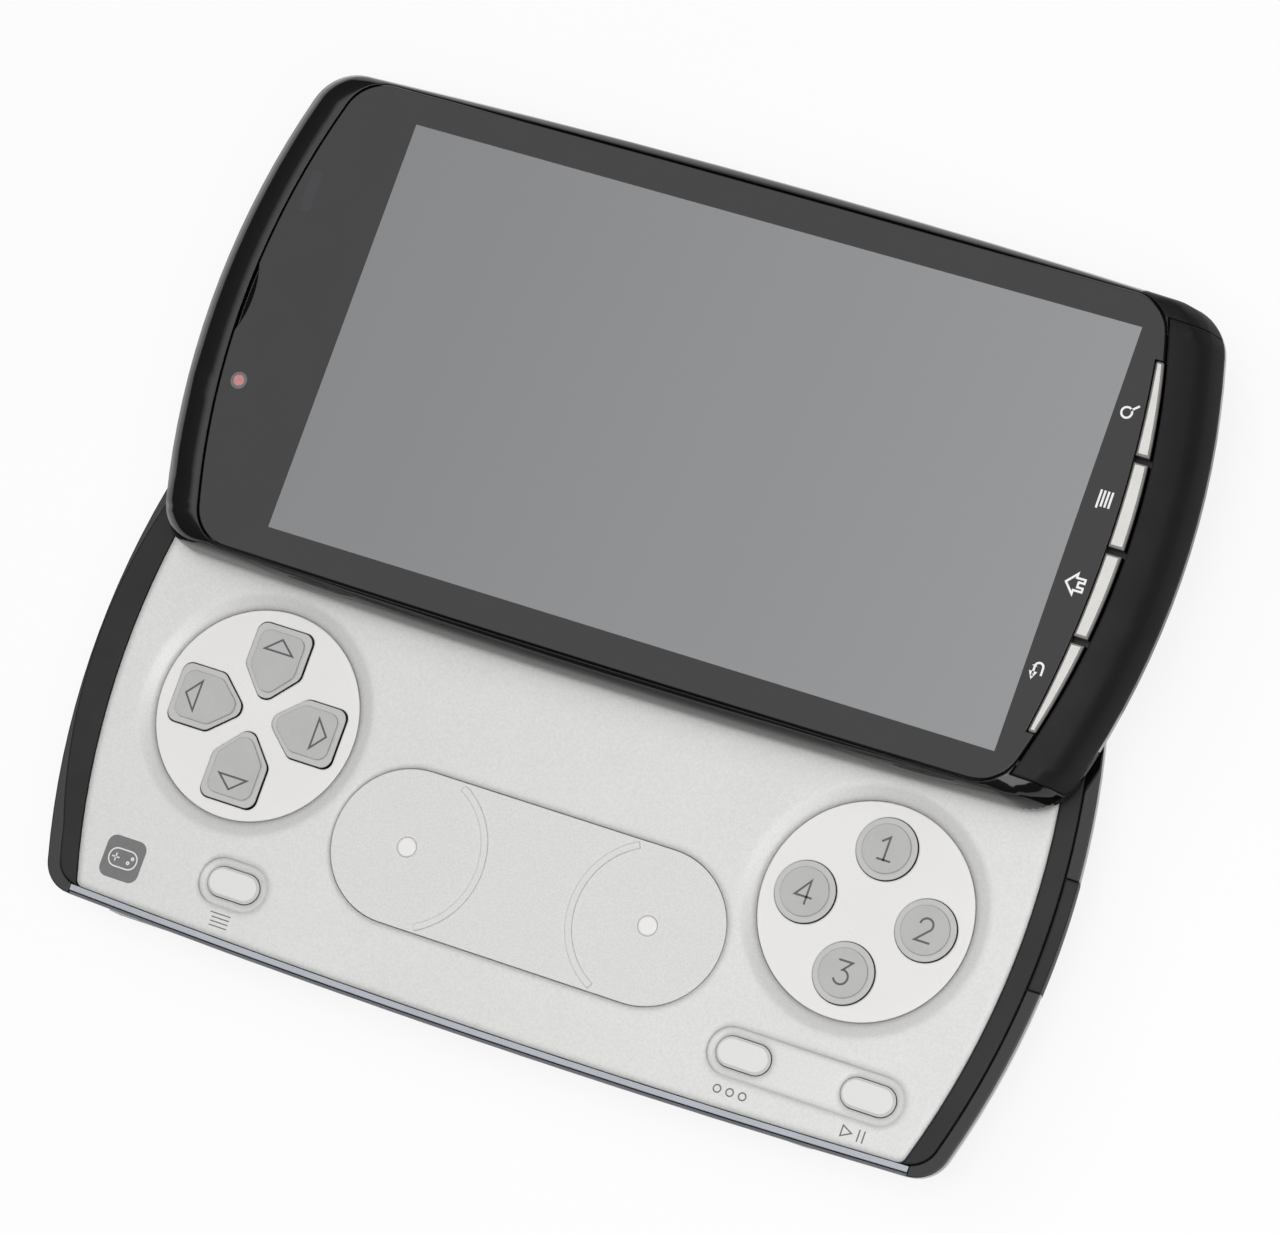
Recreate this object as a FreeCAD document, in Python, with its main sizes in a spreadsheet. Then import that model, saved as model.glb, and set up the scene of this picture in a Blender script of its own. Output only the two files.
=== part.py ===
import FreeCAD, Part

import math
import os
import re

import Sketcher

# Slider phone with a control deck: the screen half slides along +Y over the base half.
# Millimetres, +Z up. The origin is the bottom centre of the base half, +X runs along the
# long side and the screen half is modelled slid fully open.

# Outline of both halves at their widest line
half_length = 59.4  # middle of the phone to each end
half_width = 30.4  # middle of the base to each long side
end_round = 92  # plan radius of the bowed ends
side_round = 1350  # plan radius of the bowed long sides
corner_round = 4.0  # plan radius of the base corners
# Base half
deck_height = 8.2  # bottom to the deck that carries the control plate
end_roll = 9.0  # how far the back curls in at the ends
side_roll = 3.4  # how far the back curls in at the long sides
split_angle = 50  # place of the cover seam on the curled back, in degrees
frame_fold = 25  # place of the fold in the frame's curled side, in degrees
cover_fold = 70  # place of the fold in the cover's curled side, in degrees
wall = 1.2  # wall of the outer shells
deck_thick = 0.6  # deck sheet under the slide bracket
deck_lap = 1.8  # deck sheet beyond the slide bracket
opening_inset = 10.2  # each end to the opening under the control plate
cover_floor = 1.0  # floor of the battery cover
seam = 0.1  # gap along a seam between fixed pieces
plate_thick = 1.3  # control plate
grip_width = 4.0  # each end to the control plate at its middle
plate_inset = 1.2  # long sides to the control plate at its middle
plate_round = 91  # plan radius of the control plate's ends
plate_corner = 1.0  # plan radius of the control plate's corners
rim_width = 1.5  # outer band beside the right grip
left_rim = 0.15  # outer band beside the left grip at its middle
left_round = 62  # plan radius of the left grip's outer edge
notch_y = 14.2  # notch in the left grip, from the middle
notch_width = 0.5  # notch in the left grip
notch_depth = 0.7  # notch in the left grip
trim_break = 0.45  # chamfer along the trim strip
rim_drop = 0.2  # outer band and trim below the top of the control plate
grip_rise = 0.1  # grips above the control plate
trim_inset = 7.7  # each end to the trim strip along the near edge
insert_half_length = 6.4  # insert in the right end
# Control deck
disc_inset = 21.8  # each end to the middle of a key disc
disc_y = -3.6  # key discs from the middle, across the phone
disc_radius = 12.3  # key disc
disc_thick = 0.55  # key disc
dish_width = 1.8  # sloping ring round each key disc
dish_depth = 0.75  # key disc below the control plate
key_rise = 0.55  # key caps above their disc
key_travel = 0.25  # press of a deck key
key_gap = 0.1  # gap round a moving key
carrier_thick = 0.55  # key carrier below the control plate
petal_width = 7.1  # direction key
petal_tip = 2.0  # disc middle to the tip of a direction key
petal_shoulder = 5.3  # disc middle to where a direction key starts to taper
petal_end = 10.55  # disc middle to the outer end of a direction key
petal_corner = 1.2  # corner radius of a direction key
cap_step = 0.25  # raised middle of a key cap
cap_rim = 0.7  # width of a key cap's lower rim
button_radius = 3.55  # numbered key
button_pitch = 7.16  # disc middle to the middle of a numbered key
edge_break = 0.3  # how far a flange reaches beyond its key cap, and chamfer on the small keys
pad_length = 47.9  # touch pad
pad_width = 17.9  # touch pad
pad_up = 17.85  # near side to the middle of the touch pad
pad_thick = 0.8  # touch pad
ridge_radius = 9.2  # raised arcs round the centre marks
ridge_width = 0.78  # raised arcs
ridge_angle = 63.4  # half angle of a raised arc, in degrees
ridge_rise = 0.12  # raised arcs above the touch pad
pill_up = 7.73  # near side to the middle of the small keys
pill_length = 6.55  # small key
pill_width = 3.63  # small key
menu_inset = 26.4  # left end to the menu key
select_inset = 29.3  # right end to the select key
start_inset = 14.5  # right end to the start key
recess_margin = 0.95  # shallow recess beyond the small keys
recess_depth = 0.4  # shallow recess round the small keys
# Inside the base half
post_inset = 8.1  # each end to the posts on the chassis
post_y = 10  # posts on the chassis from the middle, across the phone
post_width = 3.0  # posts on the chassis, square
battery_inset = 28.9  # each end to the battery
battery_side_inset = 9.9  # long sides to the battery
battery_gap = 0.2  # battery to its bay
battery_corner = 0.8  # radius of the battery's upright edges
bay_wall = 0.8  # walls of the battery bay
chassis_thick = 0.6  # chassis plate
board_drop = 2.0  # deck to the underside of the main board
chassis_margin = 2.0  # chassis to the frame's inner wall
board_thick = 0.8  # main board
board_inset = 10.9  # each end to the main board
board_side_inset = 4.9  # long sides to the main board
shield_inset = 5.0  # ends of the main board to the shielding cans
shield_gap = 2.0  # between shielding cans
dome_rise = 0.25  # key domes above the main board
dome_width = 3.0  # key dome
foot_width = 1.5  # stem of a deck key, square
socket_radius = 1.8  # headphone socket bore
socket_body = 4.4  # headphone socket body, square
socket_length = 14  # headphone socket body
socket_inset = 22.4  # right end to the headphone socket
socket_drop = 3.6  # deck to the headphone socket's axis
socket_collar = 0.8  # wall of the headphone socket round its bore
usb_inset = 15.4  # left end to the charging socket
usb_drop = 4.1  # deck to the charging socket's axis
usb_width = 7.6  # charging socket
usb_height = 2.8  # charging socket
usb_length = 5.4  # charging socket
usb_wall = 0.4  # shell of the charging socket
tongue_width = 3.8  # contact tongue of the charging socket
tongue_thick = 0.5  # contact tongue of the charging socket
mouth_inset = 0.85  # near side to the mouths of both sockets
camera_inset = 20.4  # left end to the rear camera
camera_radius = 3.6  # rear camera window
camera_body = 8.6  # rear camera module, square
flash_y = 9.5  # flash from the rear camera
flash_radius = 1.6  # flash window
window_thick = 0.6  # rear camera window
speaker_inset = 7.4  # each end to its loudspeaker
speaker_length = 14  # loudspeaker
speaker_width = 8.5  # loudspeaker
speaker_thick = 3.0  # loudspeaker
holder_length = 11  # card holder
holder_width = 9  # card holder
holder_thick = 1.7  # card holder
motor_radius = 2.2  # vibration motor
motor_length = 9  # vibration motor
motor_inset = 19.7  # right end to the middle of the vibration motor
motor_lap = 3.0  # vibration motor beyond the deck sheet's edge
# Keys on the sides of the base half
side_key_drop = 2.6  # deck to the middle of the side keys
trigger_inset = 19.4  # each end to the middle of its shoulder key
trigger_length = 15  # shoulder key
trigger_height = 3.2  # shoulder key
trigger_travel = 0.5  # press of a shoulder key
side_key_rise = 0.6  # side keys beyond the side wall
volume_length = 22  # volume rocker
volume_height = 2.2  # volume rocker
rocker_gap = 0.4  # flange of the volume rocker to the wall it rocks behind
pivot_radius = 0.3  # round rib that the volume rocker rocks on
power_inset = 11.4  # far side to the middle of the power key
power_length = 9.2  # power key
power_height = 2.2  # power key
power_rise = 0.3  # power key beyond the end wall
flange_thick = 0.7  # flange that holds a side key in
flange_margin = 0.8  # flange beyond a side key's cap
switch_depth = 2.0  # side switch behind each side key
# Slide
open_lap = 19.95  # overlap of the halves with the slide open
slide_gap = 0.3  # gap between the halves
bracket_inset = 20.4  # each end to the fixed bracket
bracket_width = 12  # fixed bracket
bracket_thick = 0.6  # fixed bracket
rail_inset = 26.4  # each end to the middle of its rail
runner_length = 10  # slide runner
runner_width = 5.2  # slide runner
runner_height = 1.0  # slide runner
runner_gap = 0.05  # slide runner to its channel
leg_width = 1.6  # bracket leg in the tray slot
slot_width = 2.6  # slot in the tray
stop_gap = 0.4  # runner to the end of its rail at either end of the slide
rail_sheet = 0.4  # folded sheet of the rail plate
# Screen half
screen_inset = 0.4  # screen half narrower than the base on each long side
screen_corner = 6.0  # plan radius of the screen half's corners
tray_floor = 0.8  # floor of the slide tray
tray_height = 1.8  # slide tray
tray_tuck = 0.8  # how far the tray tucks in below its widest line
bezel_height = 4.4  # tray to the front face
bezel_end_roll = 5.4  # how far the bezel curls in at the ends
bezel_side_roll = 1.4  # how far the bezel curls in at the long sides
glass_inset = 5.6  # each end to the front glass at its middle
glass_side_inset = 1.6  # long sides of the screen half to the front glass
glass_round = 86  # plan radius of the glass ends
glass_side_round = 4000  # plan radius of the glass sides
glass_corner = 5.0  # corner of the glass
glass_thick = 1.0  # front glass
glass_ledge = 1.0  # ledge that carries the glass
glass_break = 0.2  # chamfer round the front glass
bezel_fold = 35  # place of the first fold in the bezel's curled side, in degrees
bezel_crown = 60  # place of its second fold, in degrees
display_x = 3.1  # middle of the display
display_inset = 14.1  # half the length less half the display module
display_side_inset = 4.5  # long sides of the screen half to the display module
display_thick = 1.8  # display module
cap_inset = 3.6  # long sides of the screen half to the end cap
cap_gap = 0.3  # front glass to the end cap
soft_key_inset = 7.6  # right end to the inner edge of the front keys at the middle
soft_key_width = 1.9  # front keys at the middle
soft_inner_round = 133  # plan radius of the inner edge
soft_outer_round = 88  # plan radius of the outer edge
soft_key_end = 8.6  # long sides of the screen half to the outer front keys
soft_key_split = 10.4  # middle to the joint between front keys
soft_key_slit = 0.7  # slit between front keys
soft_key_rise = 0.15  # front keys above the glass
soft_key_height = 1.6  # front key cap
soft_key_tip = 0.3  # corner radius of the outer front keys' ends
earpiece_length = 9.5  # earpiece
earpiece_width = 6  # earpiece
notch_round = 11.8  # radius of the earpiece notch in the glass
notch_reach = 1.0  # earpiece notch
front_camera_inset = 8.54  # left end to the front camera
front_camera_y = -9.5  # front camera from the middle of the screen
front_camera_radius = 1.3  # front camera module

document = FreeCAD.newDocument("SliderPhone")
sizes = document.addObject("Spreadsheet::Sheet", "Sizes")
aliases = [name for name, number in list(globals().items()) if isinstance(number, (int, float))]
for row, alias in enumerate(aliases, 1):
    sizes.set("A%d" % row, str(globals()[alias]))
    sizes.setAlias("A%d" % row, alias)
document.recompute()

# Places and heights that several pieces share, worked out from the sizes
worked_out = {
    "deck_edge": "bracket_y - bracket_width / 2 - deck_lap",
    "opening_half_length": "half_length - opening_inset",
    "plate_half_length": "half_length - grip_width",
    "plate_half_width": "half_width - plate_inset",
    "trim_half_length": "half_length - trim_inset",
    "disc_x": "half_length - disc_inset",
    "pad_y": "pad_up - half_width",
    "dot_x": "(pad_length - pad_width) / 2",
    "pill_y": "pill_up - half_width",
    "menu_x": "menu_inset - half_length",
    "select_x": "half_length - select_inset",
    "start_x": "half_length - start_inset",
    "post_x": "half_length - post_inset",
    "battery_length": "2 * (half_length - battery_inset)",
    "battery_width": "2 * (half_width - battery_side_inset)",
    "board_half_length": "half_length - board_inset",
    "board_half_width": "half_width - board_side_inset",
    "socket_x": "half_length - socket_inset",
    "usb_x": "usb_inset - half_length",
    "camera_x": "camera_inset - half_length",
    "speaker_reach": "half_length - speaker_inset",
    "trigger_x": "half_length - trigger_inset",
    "power_y": "half_width - power_inset",
    "travel": "2 * half_width - open_lap",
    "bracket_half_length": "half_length - bracket_inset",
    "rail_x": "half_length - rail_inset",
    "screen_half_width": "half_width - screen_inset",
    "glass_half_length": "half_length - glass_inset",
    "glass_half_width": "screen_half_width - glass_side_inset",
    "display_length": "2 * (half_length - display_inset)",
    "display_width": "2 * (screen_half_width - display_side_inset)",
    "cap_half_width": "screen_half_width - cap_inset",
    "soft_key_inner": "half_length - soft_key_inset",
    "soft_key_outer": "soft_key_inner + soft_key_width",
    "soft_key_span": "screen_half_width - soft_key_end",
    "front_camera_x": "front_camera_inset - half_length",
    "cover_top": "deck_height * (1 - sin(split_angle * 1deg))",
    "plate_top": "deck_height + plate_thick",
    "disc_top": "plate_top - dish_depth",
    "disc_under": "disc_top - disc_thick",
    "rim_top": "plate_top - rim_drop",
    "board_under": "deck_height - board_drop",
    "board_top": "board_under + board_thick",
    "dome_top": "board_top + dome_rise",
    "chassis_under": "board_under - chassis_thick",
    "battery_thick": "chassis_under - cover_floor - battery_gap * 2",
    "side_key_z": "deck_height - side_key_drop",
    "socket_z": "deck_height - socket_drop",
    "usb_z": "deck_height - usb_drop",
    "tray_under": "plate_top + slide_gap",
    "floor_top": "tray_under + tray_floor",
    "tray_top": "tray_under + tray_height",
    "front": "tray_top + bezel_height",
    "glass_under": "front - glass_thick",
    "insert_under": "deck_height * (1 - sin(frame_fold * 1deg))",
    "split_curl": "1 - cos(split_angle * 1deg)",
    "frame_inner_x": "half_length - wall - end_roll * split_curl",
    "frame_inner_y": "half_width - wall - side_roll * split_curl",
    "floor_curl": "1 - sqrt(1 - (1 - cover_floor / deck_height) ^ 2)",
    "deck_under": "deck_height - deck_thick",
    "carrier_under": "deck_height - carrier_thick",
    "flange_top": "deck_height - key_gap",
    "key_foot": "dome_top + key_travel + runner_gap",
    "bracket_y": "travel / 2",
    "trigger_face": "frame_inner_y - (trigger_x + trigger_length / 2 + flange_margin) ^ 2 / side_round / 2",
    "volume_face": "frame_inner_y - (volume_length / 2 + flange_margin) ^ 2 / side_round / 2",
    "trim_inner": "plate_half_width - trim_half_length ^ 2 / side_round / 2",
    "power_face": "frame_inner_x - (power_y + power_length / 2 + flange_margin) ^ 2 / end_round / 2",
    "runner_bottom": "floor_top + rail_sheet + runner_gap",
    "runner_top": "runner_bottom + runner_height",
    "rail_under": "runner_top + runner_gap",
    "slot_reach": "travel / 2 + runner_length / 2 + stop_gap",
}


def bound(text):
    """The expression with its worked-out values written out and its sizes addressed in the sheet."""
    def address(word):
        if word.group() in worked_out:
            return "(%s)" % bound(worked_out[word.group()])
        return ("Sizes." if word.group() in aliases else "") + word.group()
    return re.sub("[a-z_]+", address, text)


def value(text):
    """The present value of an expression."""
    return float(sizes.evalExpression(bound(text)))


# Sketch helpers: every length that shapes a sketch is a constraint bound to the sheet


def new_body(label):
    body = document.addObject("PartDesign::Body", label)
    body.Label = label
    return body


def new_sketch(body, role="XY_Plane", offset="0"):
    """A sketch on one of the body's origin planes, moved along the plane's normal."""
    plane = [feature for feature in body.Origin.OriginFeatures if feature.Role == role][0]
    sketch = body.newObject("Sketcher::SketchObject", body.Name + "_sketch")
    sketch.AttachmentSupport = [(plane, "")]
    sketch.MapMode = "FlatFace"
    sketch.setExpression("AttachmentOffset.Base.z", bound(offset))
    return sketch


def dimension(sketch, kind, *items):
    """A driving constraint whose last item is the expression of its value."""
    constraint = Sketcher.Constraint(kind, *items[:-1], value(items[-1]))
    index = sketch.addConstraint(constraint)
    sketch.setExpression("Constraints[%d]" % index, bound(items[-1]))


def place_point(sketch, geometry, point, x, y):
    dimension(sketch, "DistanceX", -1, 1, geometry, point, x)
    dimension(sketch, "DistanceY", -1, 1, geometry, point, y)


def arc(centre, radius, start, end):
    circle = Part.Circle(FreeCAD.Vector(*centre, 0), FreeCAD.Vector(0, 0, 1), radius)
    return Part.ArcOfCircle(circle, start, end)


def add_circle(sketch, x, y, radius):
    centre = FreeCAD.Vector(value(x), value(y), 0)
    circle = sketch.addGeometry(Part.Circle(centre, FreeCAD.Vector(0, 0, 1), value(radius)))
    place_point(sketch, circle, 3, x, y)
    dimension(sketch, "Radius", circle, radius)


def add_polygon(sketch, corners):
    """Straight edges through corners given as pairs of expressions."""
    points = [FreeCAD.Vector(value(x), value(y), 0) for x, y in corners]
    count = len(points)
    lines = [Part.LineSegment(points[i], points[(i + 1) % count]) for i in range(count)]
    first = sketch.addGeometry(lines)[0]
    for i, (x, y) in enumerate(corners):
        sketch.addConstraint(Sketcher.Constraint("Coincident", first + i, 1, first + (i - 1) % count, 2))
        place_point(sketch, first + i, 1, x, y)


def add_rectangle(sketch, low_x, high_x, low_y, high_y):
    add_polygon(sketch, [(low_x, low_y), (high_x, low_y), (high_x, high_y), (low_x, high_y)])


def add_pill(sketch, x, y, length, width):
    """A slot with round ends, lying along the sketch's X."""
    centre_x, centre_y, radius = value(x), value(y), value(width) / 2
    reach = value(length) / 2 - radius
    right = arc((centre_x + reach, centre_y), radius, -math.pi / 2, math.pi / 2)
    left = arc((centre_x - reach, centre_y), radius, math.pi / 2, 3 * math.pi / 2)
    upper = Part.LineSegment(right.EndPoint, left.StartPoint)
    lower = Part.LineSegment(left.EndPoint, right.StartPoint)
    first = sketch.addGeometry([right, upper, left, lower])[0]
    for i in range(4):
        sketch.addConstraint(Sketcher.Constraint("Tangent", first + i, 2, first + (i + 1) % 4, 1))
    dimension(sketch, "Radius", first, "(%s) / 2" % width)
    sketch.addConstraint(Sketcher.Constraint("Equal", first, first + 2))
    place_point(sketch, first, 3, "%s + (%s - (%s)) / 2" % (x, length, width), y)
    place_point(sketch, first + 2, 3, "%s - (%s - (%s)) / 2" % (x, length, width), y)


def add_outline(sketch, half_length, half_width, end_round, side_round, corner):
    """The phone's outline: bowed ends and sides joined by tangent corner arcs."""
    given = (half_length, half_width, end_round, side_round, corner)
    length, width, end, side, round_off = [value(expression) for expression in given]
    end_x = length - end
    side_y = width - side
    apart = math.hypot(end_x, side_y)
    along = ((end - round_off) ** 2 - (side - round_off) ** 2 + apart ** 2) / (2 * apart)
    across = math.sqrt((end - round_off) ** 2 - along ** 2)
    towards = (-end_x / apart, side_y / apart)
    meets = [(end_x + along * towards[0] - turn * across * towards[1],
              along * towards[1] + turn * across * towards[0]) for turn in (1, -1)]
    corner_x, corner_y = max(meets)
    end_angle = math.atan2(corner_y, corner_x - end_x)
    side_angle = math.atan2(corner_y - side_y, corner_x)
    turn = math.pi
    arcs = [arc((end_x, 0), end, -end_angle, end_angle),
            arc((corner_x, corner_y), round_off, end_angle, side_angle),
            arc((0, side_y), side, side_angle, turn - side_angle),
            arc((-corner_x, corner_y), round_off, turn - side_angle, turn - end_angle),
            arc((-end_x, 0), end, turn - end_angle, turn + end_angle),
            arc((-corner_x, -corner_y), round_off, turn + end_angle, turn + side_angle),
            arc((0, -side_y), side, turn + side_angle, 2 * turn - side_angle),
            arc((corner_x, -corner_y), round_off, 2 * turn - side_angle, 2 * turn - end_angle)]
    first = sketch.addGeometry(arcs)[0]
    for i in range(8):
        sketch.addConstraint(Sketcher.Constraint("Tangent", first + i, 2, first + (i + 1) % 8, 1))
    for i in (0, 4):
        sketch.addConstraint(Sketcher.Constraint("PointOnObject", first + i, 3, -1))
        sketch.addConstraint(Sketcher.Constraint("PointOnObject", first + i + 2, 3, -2))
        dimension(sketch, "Radius", first + i, end_round)
        dimension(sketch, "Radius", first + i + 2, side_round)
    for i in (1, 3, 5, 7):
        dimension(sketch, "Radius", first + i, corner)
    dimension(sketch, "DistanceX", -1, 1, first, 3, "(%s) - (%s)" % (half_length, end_round))
    dimension(sketch, "DistanceX", -1, 1, first + 4, 3, "(%s) - (%s)" % (end_round, half_length))
    dimension(sketch, "DistanceY", -1, 1, first + 2, 3, "(%s) - (%s)" % (half_width, side_round))
    dimension(sketch, "DistanceY", -1, 1, first + 6, 3, "(%s) - (%s)" % (side_round, half_width))


def bowed(x, radius, y):
    """How far along X an edge is at a height in the sketch. It bows away from the middle."""
    if radius is None:
        return value(x)
    bow = value(radius) - math.sqrt(value(radius) ** 2 - y ** 2)
    return value(x) - math.copysign(bow, value(x))


def add_curved_bar(sketch, inner_x, inner_round, outer_x, outer_round, low_y, high_y):
    """A bar across the phone between two arcs centred on the X axis. A radius of None is a
    straight edge. Both edges lie on the side of the phone that inner_x and outer_x are on."""
    sides = []
    for x, radius in ((inner_x, inner_round), (outer_x, outer_round)):
        sign = 1 if value(x) > 0 else -1
        ends = [FreeCAD.Vector(bowed(x, radius, value(y)), value(y), 0) for y in (low_y, high_y)]
        sides.append((x, radius, sign, ends))
    edges = []
    for x, radius, sign, ends in sides:
        if radius is None:
            edges.append(Part.LineSegment(ends[0], ends[1]))
            continue
        middle_y = (ends[0].y + ends[1].y) / 2
        edges.append(Part.Arc(ends[0], FreeCAD.Vector(bowed(x, radius, middle_y), middle_y, 0), ends[1]))
    edges.append(Part.LineSegment(sides[0][3][0], sides[1][3][0]))
    edges.append(Part.LineSegment(sides[0][3][1], sides[1][3][1]))
    first = sketch.addGeometry(edges)[0]
    for side, (x, radius, sign, ends) in enumerate(sides):
        geometry = first + side
        lower_end, upper_end = (1, 2)
        if radius is not None and sign < 0:
            lower_end, upper_end = (2, 1)
        for y, end, link in ((low_y, lower_end, first + 2), (high_y, upper_end, first + 3)):
            sketch.addConstraint(Sketcher.Constraint("Coincident", geometry, end, link, 1 + side))
            dimension(sketch, "DistanceY", -1, 1, geometry, end, y)
        if radius is None:
            sketch.addConstraint(Sketcher.Constraint("Vertical", geometry))
            dimension(sketch, "DistanceX", -1, 1, geometry, 1, x)
            continue
        sketch.addConstraint(Sketcher.Constraint("PointOnObject", geometry, 3, -1))
        dimension(sketch, "Radius", geometry, radius)
        offset = "(%s) - (%s)" if sign > 0 else "(%s) + (%s)"
        dimension(sketch, "DistanceX", -1, 1, geometry, 3, offset % (x, radius))


def pad(body, sketch, length):
    feature = body.newObject("PartDesign::Pad", body.Name + "_pad")
    feature.Profile = sketch
    feature.setExpression("Length", bound(length))
    sketch.Visibility = False
    body.Tip = feature
    return feature


def pocket(body, sketch, depth, upward=False):
    """A cut from the sketch downward, or upward, by the depth."""
    feature = body.newObject("PartDesign::Pocket", body.Name + "_pocket")
    feature.Profile = sketch
    feature.setExpression("Length", bound(depth))
    feature.Reversed = upward
    body.Tip = feature
    return feature


def loft(body, sketches):
    feature = body.newObject("PartDesign::AdditiveLoft", body.Name + "_loft")
    feature.Profile = sketches[0]
    feature.Sections = sketches[1:]
    feature.Ruled = True
    body.Tip = feature
    return feature


def edges_of(feature, test):
    document.recompute()
    return ["Edge%d" % (i + 1) for i, edge in enumerate(feature.Shape.Edges) if test(edge.BoundBox, edge)]


def break_edges(body, feature, test, amount, kind="Chamfer"):
    """A chamfer or fillet on the edges that pass the test."""
    names = edges_of(feature, test)
    dress = body.newObject("PartDesign::" + kind, body.Name + "_" + kind.lower())
    dress.Base = (feature, names)
    dress.setExpression("Size" if kind == "Chamfer" else "Radius", bound(amount))
    body.Tip = dress
    return dress


def upright(box, edge):
    return box.XLength < 1e-3 and box.YLength < 1e-3 and box.ZLength > 1e-3


def at_height(height):
    """A test for the level edges at a height."""
    level = value(height)
    return lambda box, edge: abs(box.ZMin - level) < 1e-3 and abs(box.ZMax - level) < 1e-3


# Part primitives and booleans for what is made as plain blocks and turned pieces


def block(low, high, label=None):
    """A box between two corners given as expressions."""
    item = document.addObject("Part::Box", label or "block")
    for side, start, end in zip(("Length", "Width", "Height"), low, high):
        item.setExpression(side, bound("(%s) - (%s)" % (end, start)))
    for axis, start in zip("xyz", low):
        item.setExpression("Placement.Base." + axis, bound(start))
    return item


def rod(centre, radius, length, axis="z", label=None):
    """A cylinder from a point along +X, +Y, -Y or +Z."""
    item = document.addObject("Part::Cylinder", label or "rod")
    item.setExpression("Radius", bound(radius))
    item.setExpression("Height", bound(length))
    turns = {"z": ((0, 0, 1), 0), "x": ((0, 1, 0), 90), "y": ((1, 0, 0), -90), "-y": ((1, 0, 0), 90)}
    direction, angle = turns[axis]
    item.Placement = FreeCAD.Placement(FreeCAD.Vector(), FreeCAD.Rotation(FreeCAD.Vector(*direction), angle))
    for axis_name, start in zip("xyz", centre):
        item.setExpression("Placement.Base." + axis_name, bound(start))
    return item


def fuse(items, label=None):
    item = document.addObject("Part::MultiFuse", label or "fuse")
    item.Shapes = items
    return item


def cut(base, tools, label=None):
    item = document.addObject("Part::Cut", label or "cut")
    item.Base = base
    item.Tool = tools[0] if len(tools) == 1 else fuse(tools)
    return item


def group(items, label):
    """Separate solids of one kind in one node."""
    item = document.addObject("Part::Compound", label)
    item.Links = items
    return item


nodes = {}


def keep(item, name):
    """Make an object one of the phone's pieces."""
    item.Label = name
    nodes[name] = item
    return item


# Base half: outer shells


def base_section(body, angle):
    """The base outline on its curled back, at an angle below the widest line."""
    curl = "(1 - cos(%s * 1deg))" % angle
    sketch = new_sketch(body, offset="deck_height * (1 - sin(%s * 1deg))" % angle)
    add_outline(sketch, "half_length - end_roll * " + curl, "half_width - side_roll * " + curl,
                "end_round", "side_round", "corner_round")
    return sketch


def make_battery_cover():
    body = new_body("battery_cover")
    loft(body, [base_section(body, angle) for angle in ("90", "cover_fold", "split_angle")])
    inside = new_sketch(body, offset="cover_top")
    add_outline(inside, "half_length - end_roll * floor_curl - wall",
                "half_width - side_roll * floor_curl - wall", "end_round", "side_round", "corner_round")
    pocket(body, inside, "cover_top - cover_floor")
    windows = new_sketch(body, offset="cover_floor")
    add_circle(windows, "camera_x", "0", "camera_radius + seam")
    add_circle(windows, "camera_x", "flash_y", "flash_radius + seam")
    pocket(body, windows, "cover_floor")
    return keep(body, "battery_cover")


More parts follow.
